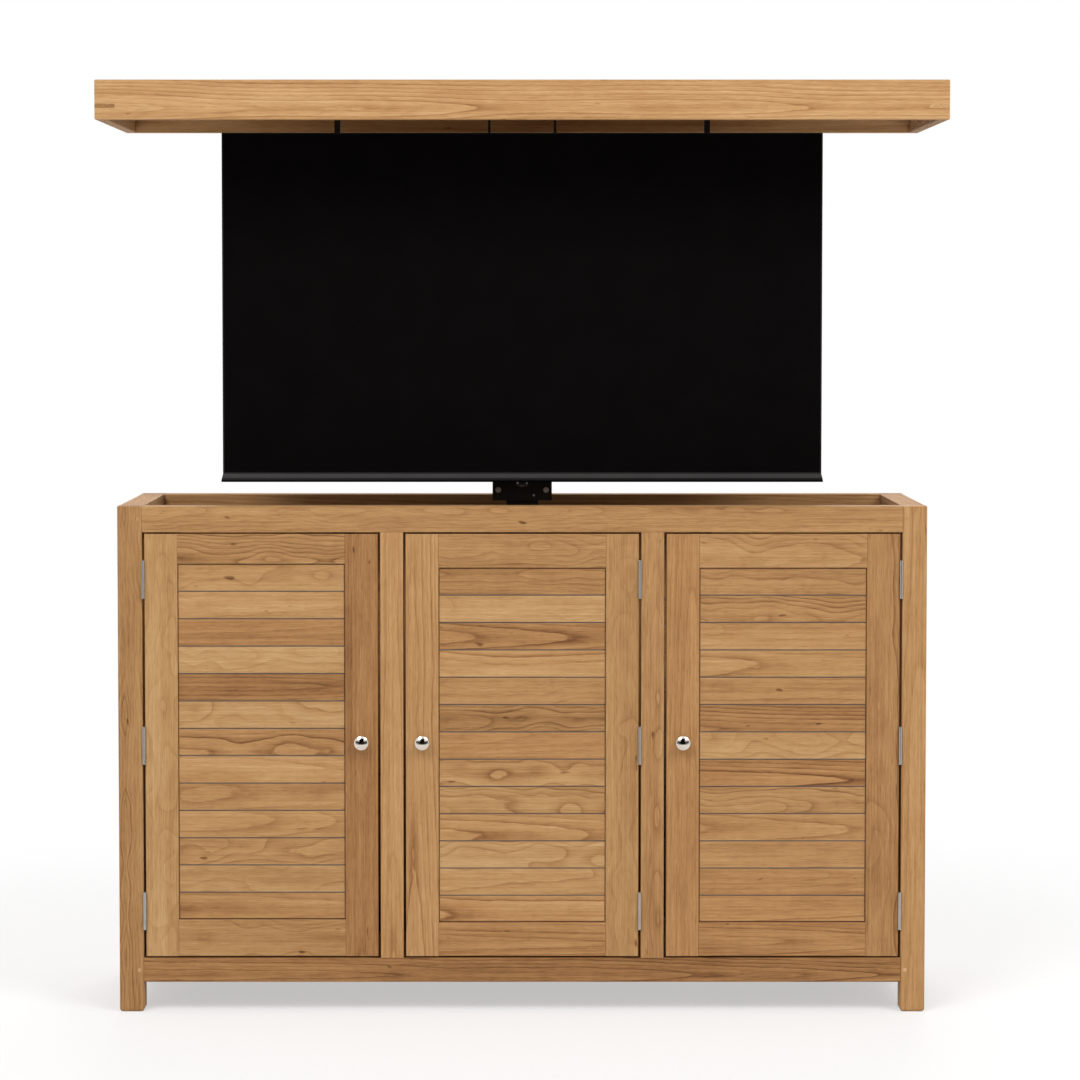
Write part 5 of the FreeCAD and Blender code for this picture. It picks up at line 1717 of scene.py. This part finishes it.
@dataclass
class Lift(Assembly):
    """The telescopic column, its drive and the steel that it carries.

    Attributes:
        bolt_x: the column's middle to the bolts of the mount plate.
        plate_bolt: a bolt of the mount plate, seen from the front.
        plate_bolt_rise: the mount plate's lower edge to these bolts.
        plate_screw: the small screw beside them.
        plate_screw_place: its place from the plate's middle and lower edge.
        rail_nut: a nut that holds the bracket's rails.
        tv_holes: half the width and height of the television's hole pattern.
        tv_screw: a screw into the television.
        arm_wall: thickness of the bracket's steel.
        head_bolt: a bolt of the column's head or of the crossbar.
        head_bolt_x: the column's middle to them.
        plug_depth: how far the crossbar's plugs stand out.
        plug_rim: width of their rim.
        plug_sink: depth of their middle.
        foot: thickness of an upright's foot.
        foot_screw: a screw up through a foot.
        foot_screw_x: where the feet's screws are.
        foot_screw_y: the middle of a foot to its screws.
        base_bolt: a bolt of the base plate.
        base_bolt_inset: the plate's edges to it.
        gearbox_screw: a screw of the gearbox's lid.
        gearbox_screw_inset: the lid's edges to it.
        motor_screw: a screw of the motor's cap.
        motor_screw_reach: the cap's middle to it, each way.
        control_socket: a socket of the control box.
        control_sockets: the box's left side to each socket.
        socket_rise: the box's underside to their middle.
        control_screw: a screw of the box's lid.
        control_screw_inset: the lid's edges to it.
    """

    bolt_x: float = 0.050
    plate_bolt: HexBolt = HexBolt(radius=0.0052, height=0.0042, washer=0.0060,
                                  middle=0.0024, rise=0.0012)
    plate_bolt_rise: float = 0.022
    plate_screw: CrossScrew = CrossScrew(radius=0.0026, height=0.0016)
    plate_screw_place: tuple[float, float] = (0.024, 0.011)
    rail_nut: HexBolt = HexBolt(radius=0.0075, height=0.0070, washer=0.0100,
                                middle=0.0040, rise=0.0025)
    tv_holes: tuple[float, float] = (0.150, 0.100)
    tv_screw: CrossScrew = CrossScrew(radius=0.0070, height=0.0030)
    arm_wall: float = 0.0025
    head_bolt: HexBolt = HexBolt(radius=0.0065, height=0.0060, washer=0.0085,
                                 middle=0.0028, rise=-0.0025)
    head_bolt_x: float = 0.048
    plug_depth: float = 0.003
    plug_rim: float = 0.005
    plug_sink: float = 0.0006
    foot: float = 0.005
    foot_screw: CrossScrew = CrossScrew(radius=0.0042, height=0.0016)
    foot_screw_x: tuple[float, ...] = (-0.400, -0.084, 0.084, 0.400)
    foot_screw_y: float = 0.015
    base_bolt: HexBolt = HexBolt(radius=0.0075, height=0.0065, washer=0.0105,
                                 middle=0.0030, rise=-0.0030)
    base_bolt_inset: float = 0.018
    gearbox_screw: CrossScrew = CrossScrew(radius=0.0030, height=0.0018)
    gearbox_screw_inset: float = 0.006
    motor_screw: CrossScrew = CrossScrew(radius=0.0024, height=0.0014)
    motor_screw_reach: float = 0.013
    control_socket: Socket = Socket(size=(0.020, 0.014, 0.002), rim=0.0022, sink=0.0015)
    control_sockets: tuple[float, ...] = (0.026, 0.060, 0.094, 0.128)
    socket_rise: float = 0.020
    control_screw: CrossScrew = CrossScrew(radius=0.0030, height=0.0012)
    control_screw_inset: float = 0.012

    def dress(self) -> None:
        """Gives the column and its carriage their finishes."""
        self.coat(STEEL_LOOK, "lift_base_plate", "lift_gearbox", "lift_motor",
                  "lift_outer_tube", "lift_middle_tube", "lift_inner_tube", "lift_head",
                  "tv_mount_plate", "tv_bracket", "lid_crossbar", "lid_uprights")
        self.coat(PLASTIC_LOOK, "outer_tube_glides", "lift_control_box")
        self.coat(TURNED_LOOK, "lower_spindle", "upper_spindle", "middle_tube_fittings",
                  "inner_tube_fittings")

    def furnish(self) -> None:
        """Fits the lift's fasteners, plugs and sockets."""
        self._bolt_plate()
        self._bolt_head()
        self._fit_crossbar()
        self._bolt_drive()
        self._wire_box()

    def _bolt_plate(self) -> None:
        """Bolts the mount plate, the bracket's rails and the television."""
        low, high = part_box("tv_mount_plate")
        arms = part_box("tv_bracket")
        middle = (arms[0].z + arms[1].z) / 2
        sides = (-self.bolt_x, self.bolt_x)
        wide, tall = self.tv_holes
        levels = (middle - tall, middle + tall)
        aside, rise = self.plate_screw_place
        self.bench.fit("mount_plate_bolts", self.plate_bolt,
                       grid(sides, (low.y,), (low.z + self.plate_bolt_rise,)),
                       Facing.FRONT, Body.CARRIAGE, ZINC_LOOK)
        self.bench.fit("mount_plate_screw", self.plate_screw, [(aside, low.y, low.z + rise)],
                       Facing.FRONT, Body.CARRIAGE, ZINC_LOOK)
        self.bench.fit("rail_nuts", self.rail_nut, grid(sides, (high.y,), levels),
                       Facing.BACK, Body.CARRIAGE, ZINC_LOOK)
        self.bench.fit("television_screws", self.tv_screw,
                       grid((-wide, wide), (arms[0].y + self.arm_wall,), levels),
                       Facing.BACK, Body.CARRIAGE, BOLT_LOOK)

    def _bolt_head(self) -> None:
        """Bolts down the column's head and the crossbar on it."""
        head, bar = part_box("lift_head"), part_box("lid_crossbar")
        sides = (-self.head_bolt_x, self.head_bolt_x)
        behind = (bar[1].y + head[1].y) / 2
        middle = (bar[0].y + bar[1].y) / 2
        self.bench.fit("head_bolts", self.head_bolt, grid(sides, (behind,), (head[1].z,)),
                       Facing.UP, Body.CARRIAGE, BOLT_LOOK)
        self.bench.fit("crossbar_bolts", self.head_bolt, grid(sides, (middle,), (bar[1].z,)),
                       Facing.UP, Body.CARRIAGE, BOLT_LOOK)

    def _fit_crossbar(self) -> None:
        """Plugs the crossbar's ends and screws the uprights' feet to the lid."""
        low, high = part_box("lid_crossbar")
        middle = (low.y + high.y) / 2
        level = (low.z + high.z) / 2
        side = high.z - low.z
        plug = Socket((side, side, self.plug_depth), self.plug_rim, self.plug_sink)
        ends = (("left", low.x, Facing.LEFT), ("right", high.x, Facing.RIGHT))
        for name, end, facing in ends:
            self.bench.fit(f"crossbar_{name}_plug", plug, [(end, middle, level)], facing,
                           Body.CARRIAGE, PLASTIC_LOOK)
        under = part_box("lid_uprights")[1].z - self.foot
        rows = (middle - self.foot_screw_y, middle + self.foot_screw_y)
        self.bench.fit("foot_screws", self.foot_screw, grid(self.foot_screw_x, rows, (under,)),
                       Facing.DOWN, Body.CARRIAGE, ZINC_LOOK)

    def _bolt_drive(self) -> None:
        """Bolts the base plate, the gearbox and the motor."""
        self.bench.fit("base_plate_bolts", self.base_bolt,
                       self._corners("lift_base_plate", self.base_bolt_inset),
                       Facing.UP, Body.CABINET, ZINC_LOOK)
        self.bench.fit("gearbox_screws", self.gearbox_screw,
                       self._corners("lift_gearbox", self.gearbox_screw_inset),
                       Facing.UP, Body.CABINET, ZINC_LOOK)
        low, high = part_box("lift_motor")
        reach = self.motor_screw_reach
        middle = (low + high) / 2
        self.bench.fit("motor_screws", self.motor_screw,
                       grid((high.x,), (middle.y - reach, middle.y + reach),
                            (middle.z - reach, middle.z + reach)),
                       Facing.RIGHT, Body.CABINET, ZINC_LOOK)

    def _wire_box(self) -> None:
        """Gives the control box its row of sockets and its lid's screws."""
        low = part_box("lift_control_box")[0]
        places = [(low.x + across, low.y, low.z + self.socket_rise)
                  for across in self.control_sockets]
        self.bench.fit("control_sockets", self.control_socket, places, Facing.FRONT,
                       Body.CABINET, GREY_LOOK)
        self.bench.fit("control_box_screws", self.control_screw,
                       self._corners("lift_control_box", self.control_screw_inset),
                       Facing.UP, Body.CABINET, ZINC_LOOK)

    @staticmethod
    def _corners(node: str, inset: float) -> list[Point]:
        """The places at the four upper corners of a CAD node.

        Args:
            node: the node's name.
            inset: how far in from its sides they are.

        Returns:
            The four places.
        """
        low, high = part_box(node)
        return grid((low.x + inset, high.x - inset), (low.y + inset, high.y - inset),
                    (high.z,))


@dataclass
class Television(Assembly):
    """The flat television.

    Attributes:
        ports_x: the middle of the bay for the sockets.
        ports_depth: the bay's depth.
        slot: a tall narrow socket.
        slots: height of each slot's middle over the bay's, from the top.
        plug: a square socket.
        plugs: the same heights for the square sockets.
        jack: a round socket.
        jacks: the same heights for the round ones.
        cover_screw: a screw of the back cover.
        slim_depth: depth of the cover's slim edge.
        cover_inset: the cover's upper and side edges to its screws.
        cover_rise: the cover's lower edge to them.
        bulge_screws: the middle of the bulge to its screws, across and up.
        lip: the receiver's curved lip, near-white as a painted highlight.
        lip_rise: the receiver's underside to the middle of the lip's curve.
        lug: a lug beside the lip, near-white as a painted highlight.
        lug_x: the receiver's middle to its lugs.
        lug_rise: the receiver's underside to them.
    """

    ports_x: float = -0.430
    ports_depth: float = 0.012
    slot: Socket = Socket(size=(0.0085, 0.0185, 0.005), rim=0.0011, sink=0.004)
    slots: tuple[float, ...] = (0.092, 0.064, 0.036)
    plug: Socket = Socket(size=(0.0140, 0.0170, 0.006), rim=0.0014, sink=0.005)
    plugs: tuple[float, ...] = (0.008, -0.020, -0.050)
    jack: Jack = Jack(radius=0.0046, height=0.006)
    jacks: tuple[float, ...] = (-0.076, -0.096)
    cover_screw: CrossScrew = CrossScrew(radius=0.0038, height=0.0014)
    slim_depth: float = 0.012
    cover_inset: float = 0.016
    cover_rise: float = 0.0096
    bulge_screws: tuple[float, float] = (0.470, 0.150)
    lip: CurvedLip = CurvedLip(radius=0.0097, half_angle=56.0, section=(0.0013, 0.0008))
    lip_rise: float = 0.0120
    lug: CrossScrew = CrossScrew(radius=0.0017, height=0.0011, sides=12)
    lug_x: float = 0.0095
    lug_rise: float = 0.0065

    def dress(self) -> None:
        """Gives the television's nodes their finishes."""
        self.coat(SCREEN_LOOK, "tv_screen")
        self.coat(PLASTIC_LOOK, "tv_bezel", "tv_rear_cover", "tv_sensor_pod")
        self.coat(CHIN_LOOK, "tv_chin")
        self.coat(GREY_LOOK, "tv_power_button")

    def furnish(self) -> None:
        """Fits the sockets, the cover's screws and the pod's trim."""
        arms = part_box("tv_bracket")
        middle = (arms[0].z + arms[1].z) / 2
        self._sockets(middle)
        self._screws(middle)
        self._pod_trim()

    def _sockets(self, middle: float) -> None:
        """Fills the bay in the back with plain sockets.

        Args:
            middle: height of the bay's middle.
        """
        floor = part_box("tv_rear_cover")[1].y - self.ports_depth
        rows = (("port_slots", self.slot, self.slots), ("port_plugs", self.plug, self.plugs),
                ("port_jacks", self.jack, self.jacks))
        for name, fitting, rises in rows:
            places = [(self.ports_x, floor, middle + rise) for rise in rises]
            self.bench.fit(name, fitting, places, Facing.BACK, Body.CARRIAGE, ZINC_LOOK)

    def _screws(self, middle: float) -> None:
        """Screws the back cover round its edge and on its bulge.

        Args:
            middle: height of the bulge's middle.
        """
        low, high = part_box("tv_rear_cover")
        slim = (low.y + self.slim_depth,)
        inset = self.cover_inset
        edge = high.x - inset
        wide, tall = self.bulge_screws
        places = grid((-edge, -edge / 2, edge / 2, edge), slim,
                      (high.z - inset, low.z + self.cover_rise))
        places += grid((-edge, edge), slim, ((low.z + high.z) / 2,))
        places += grid((-wide, wide), (high.y,), (middle - tall, middle + tall))
        self.bench.fit("cover_screws", self.cover_screw, places, Facing.BACK, Body.CARRIAGE,
                       BOLT_LOOK)

    def _pod_trim(self) -> None:
        """Gives the receiver pod its curved lip and its two lugs, pale as a painted highlight.
        """
        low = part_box("tv_sensor_pod")[0]
        self.bench.fit("pod_lip", self.lip, [(0.0, low.y, low.z + self.lip_rise)],
                       Facing.FRONT, Body.CARRIAGE, HIGHLIGHT_LOOK)
        self.bench.fit("pod_lugs", self.lug,
                       grid((-self.lug_x, self.lug_x), (low.y,), (low.z + self.lug_rise,)),
                       Facing.FRONT, Body.CARRIAGE, HIGHLIGHT_LOOK)


# ---------------------------------------------------------------------- studio


CARD_BLACK = colour(16, 16, 16)


@dataclass(frozen=True)
class Flag:
    """A black card that only mirror-like pieces see.

    Attributes:
        name: its name.
        place: its middle.
        size: its width and height.
        bearing: how far it is turned from straight ahead, in degrees.
        lean: 90 where it stands and 0 where it lies on the floor.
    """

    name: str
    place: Point
    size: tuple[float, float]
    bearing: float = 0.0
    lean: float = 90.0

    def stand(self) -> None:
        """Sets the card up."""
        Bench.clear()
        bpy.ops.mesh.primitive_plane_add(
            size=1.0, location=self.place,
            rotation=(math.radians(self.lean), 0.0, math.radians(self.bearing)))
        card = bpy.context.object
        card.name = self.name
        card.scale = (*self.size, 1.0)
        material, graph = new_material(self.name)
        graph.surface({"Base Color": CARD_BLACK, "Roughness": 1.0, "Specular IOR Level": 0.0})
        card.data.materials.append(material)
        for ray in ("camera", "diffuse", "transmission", "volume_scatter", "shadow"):
            setattr(card, f"visible_{ray}", False)


@dataclass(frozen=True)
class Softbox:
    """A square lamp that faces the middle of the cabinet.

    Attributes:
        name: its name.
        place: its middle.
        side: its width and height.
        watts: its power.
        target: the point that it faces.
    """

    name: str
    place: Point
    side: float
    watts: float
    target: Point = (0.0, 0.0, 0.9)

    def hang(self) -> None:
        """Hangs the lamp, out of the camera's sight."""
        turn = (Vector(self.place) - Vector(self.target)).to_track_quat("Z", "Y").to_euler()
        bpy.ops.object.light_add(type="AREA", location=self.place, rotation=turn)
        lamp = bpy.context.object
        lamp.name = self.name
        lamp.data.shape = "SQUARE"
        lamp.data.size = self.side
        lamp.data.energy = self.watts
        lamp.visible_camera = False


@dataclass
class Studio:
    """Floor, light and camera.

    Attributes:
        eye: the camera's place.
        lens: its focal length in millimetres.
        tilt: how far it looks down, in degrees.
        shift: how far its picture is moved, in widths of the frame.
        floor_half: half the floor's side.
        floor_shade: how much light the floor sends back.
        shadow_reach: where the floor's shadowed part starts and ends its fade to white.
        shadow_lift: how much white lies over the shadow.
        ambient: strength of the light from all round.
        lamps: the soft lamps.
        flags: the black cards that give the knobs their dark figure.
    """

    eye: Point = (0.0, -7.34, 1.432)
    lens: float = 118.05
    tilt: float = 3.05
    shift: tuple[float, float] = (0.0165, -0.0455)
    floor_half: float = 40.0
    floor_shade: float = 0.80
    shadow_reach: tuple[float, float] = (1.3, 2.6)
    shadow_lift: float = 0.50
    ambient: float = 0.48
    lamps: tuple[Softbox, ...] = (
        Softbox("key_light", (-3.0, -5.8, 6.2), side=3.6, watts=275.0),
        Softbox("fill_light", (4.4, -4.8, 5.6), side=3.6, watts=225.0),
        Softbox("back_light", (0.5, 6.4, 6.4), side=4.2, watts=260.0))
    flags: tuple[Flag, ...] = (
        Flag("left_flag", (-6.1, -8.7, 1.3), (7.2, 2.6), bearing=-35.0),
        Flag("middle_flag", (0.0, -10.6, 4.1), (7.4, 8.2)),
        Flag("right_flag", (6.1, -8.7, 1.3), (7.2, 2.6), bearing=35.0),
        Flag("floor_flag", (0.0, -5.7, 0.02), (6.4, 7.4), lean=0.0))

    def build(self) -> None:
        """Sets up the whole studio."""
        self._camera()
        self._floor()
        self._world()
        for lamp in self.lamps:
            lamp.hang()
        for flag in self.flags:
            flag.stand()
        bpy.context.scene.view_settings.view_transform = "Standard"
        log.info("studio: camera, floor, %d lamps, %d flags", len(self.lamps), len(self.flags))

    def _camera(self) -> None:
        """Places the camera, square to the cabinet's front and looking slightly down."""
        pitch = math.radians(90.0 - self.tilt)
        bpy.ops.object.camera_add(location=self.eye, rotation=(pitch, 0.0, 0.0))
        camera = bpy.context.object
        camera.name = "camera"
        camera.data.lens = self.lens
        camera.data.shift_x, camera.data.shift_y = self.shift
        bpy.context.scene.camera = camera

    def _floor(self) -> None:
        """Lays a pale floor that keeps the shadow and turns plain white further out."""
        Bench.clear()
        bpy.ops.mesh.primitive_plane_add(size=2 * self.floor_half)
        floor = bpy.context.object
        floor.name = "studio_floor"
        material, graph = new_material("studio_floor")
        x, y, _ = graph.place()
        reach = graph.math("SQRT", x * x + y * y)
        seen = self._seen(graph)
        shade = graph.mix(seen, scaled(WHITE, self.floor_shade), WHITE)
        matt = graph.node("ShaderNodeBsdfDiffuse", inputs={"Color": shade})
        white = graph.node("ShaderNodeEmission", inputs={"Strength": 1.0})
        far = graph.within(reach, *self.shadow_reach)
        fade = (self.shadow_lift + (1.0 - self.shadow_lift) * far) * seen
        both = graph.node("ShaderNodeMixShader", inputs={
            0: fade, 1: matt.outputs[0], 2: white.outputs[0]})
        graph.node("ShaderNodeOutputMaterial", inputs={"Surface": both.outputs[0]})
        floor.data.materials.append(material)

    @staticmethod
    def _seen(graph: Graph) -> Number:
        """Tells the camera's sight, direct or in a mirror or glass, from other light.

        Args:
            graph: the graph that asks.

        Returns:
            1 in sight and 0 elsewhere.
        """
        path = graph.node("ShaderNodeLightPath")
        camera, glossy, through = (
            Number(graph, path.outputs[name])
            for name in ("Is Camera Ray", "Is Glossy Ray", "Is Transmission Ray"))
        return graph.math("MAXIMUM", graph.math("MAXIMUM", camera, glossy), through)

    def _world(self) -> None:
        """Lights the cabinet softly from all round, before a white background."""
        world = bpy.data.worlds.new("studio_world")
        world.use_nodes = True
        graph = Graph(world.node_tree)
        strength = self._seen(graph) * (1.0 - self.ambient) + self.ambient
        sky = graph.node("ShaderNodeBackground", inputs={"Color": WHITE, "Strength": strength})
        graph.node("ShaderNodeOutputWorld", inputs={"Surface": sky.outputs[0]})
        bpy.context.scene.world = world


def main() -> None:
    """Dresses the cabinet, adds its fittings and sets up the studio."""
    logging.basicConfig(level=logging.INFO, format="%(name)s: %(message)s")
    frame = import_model()
    nodes = frame["nodes"]
    bench = Bench(Materials())
    assemblies = (
        Cabinet(nodes, bench),
        Door(nodes, bench, Body.LEFT_DOOR, Hand.LEFT, panel_height=(0.1875, 0.9075),
             seeds=(31.2, 31.5, 30.9), tones=(0.10, 0.03, -0.01), step=-0.20),
        Door(nodes, bench, Body.CENTRE_DOOR, Hand.RIGHT, panel_height=(0.1815, 0.8995),
             seeds=(33.7, 34.0, 32.6), tones=(0.11, 0.02, 0.03), step=-0.08),
        Door(nodes, bench, Body.RIGHT_DOOR, Hand.RIGHT, panel_height=(0.1815, 0.8995),
             seeds=(37.1, 35.7, 36.4), tones=(0.0, 0.0, 0.03), step=-0.05),
        Lid(nodes, bench),
        Lift(nodes, bench),
        Television(nodes, bench),
    )
    for assembly in assemblies:
        assembly.build()
    bench.sweep()
    Studio().build()


if __name__ == "__main__":
    main()
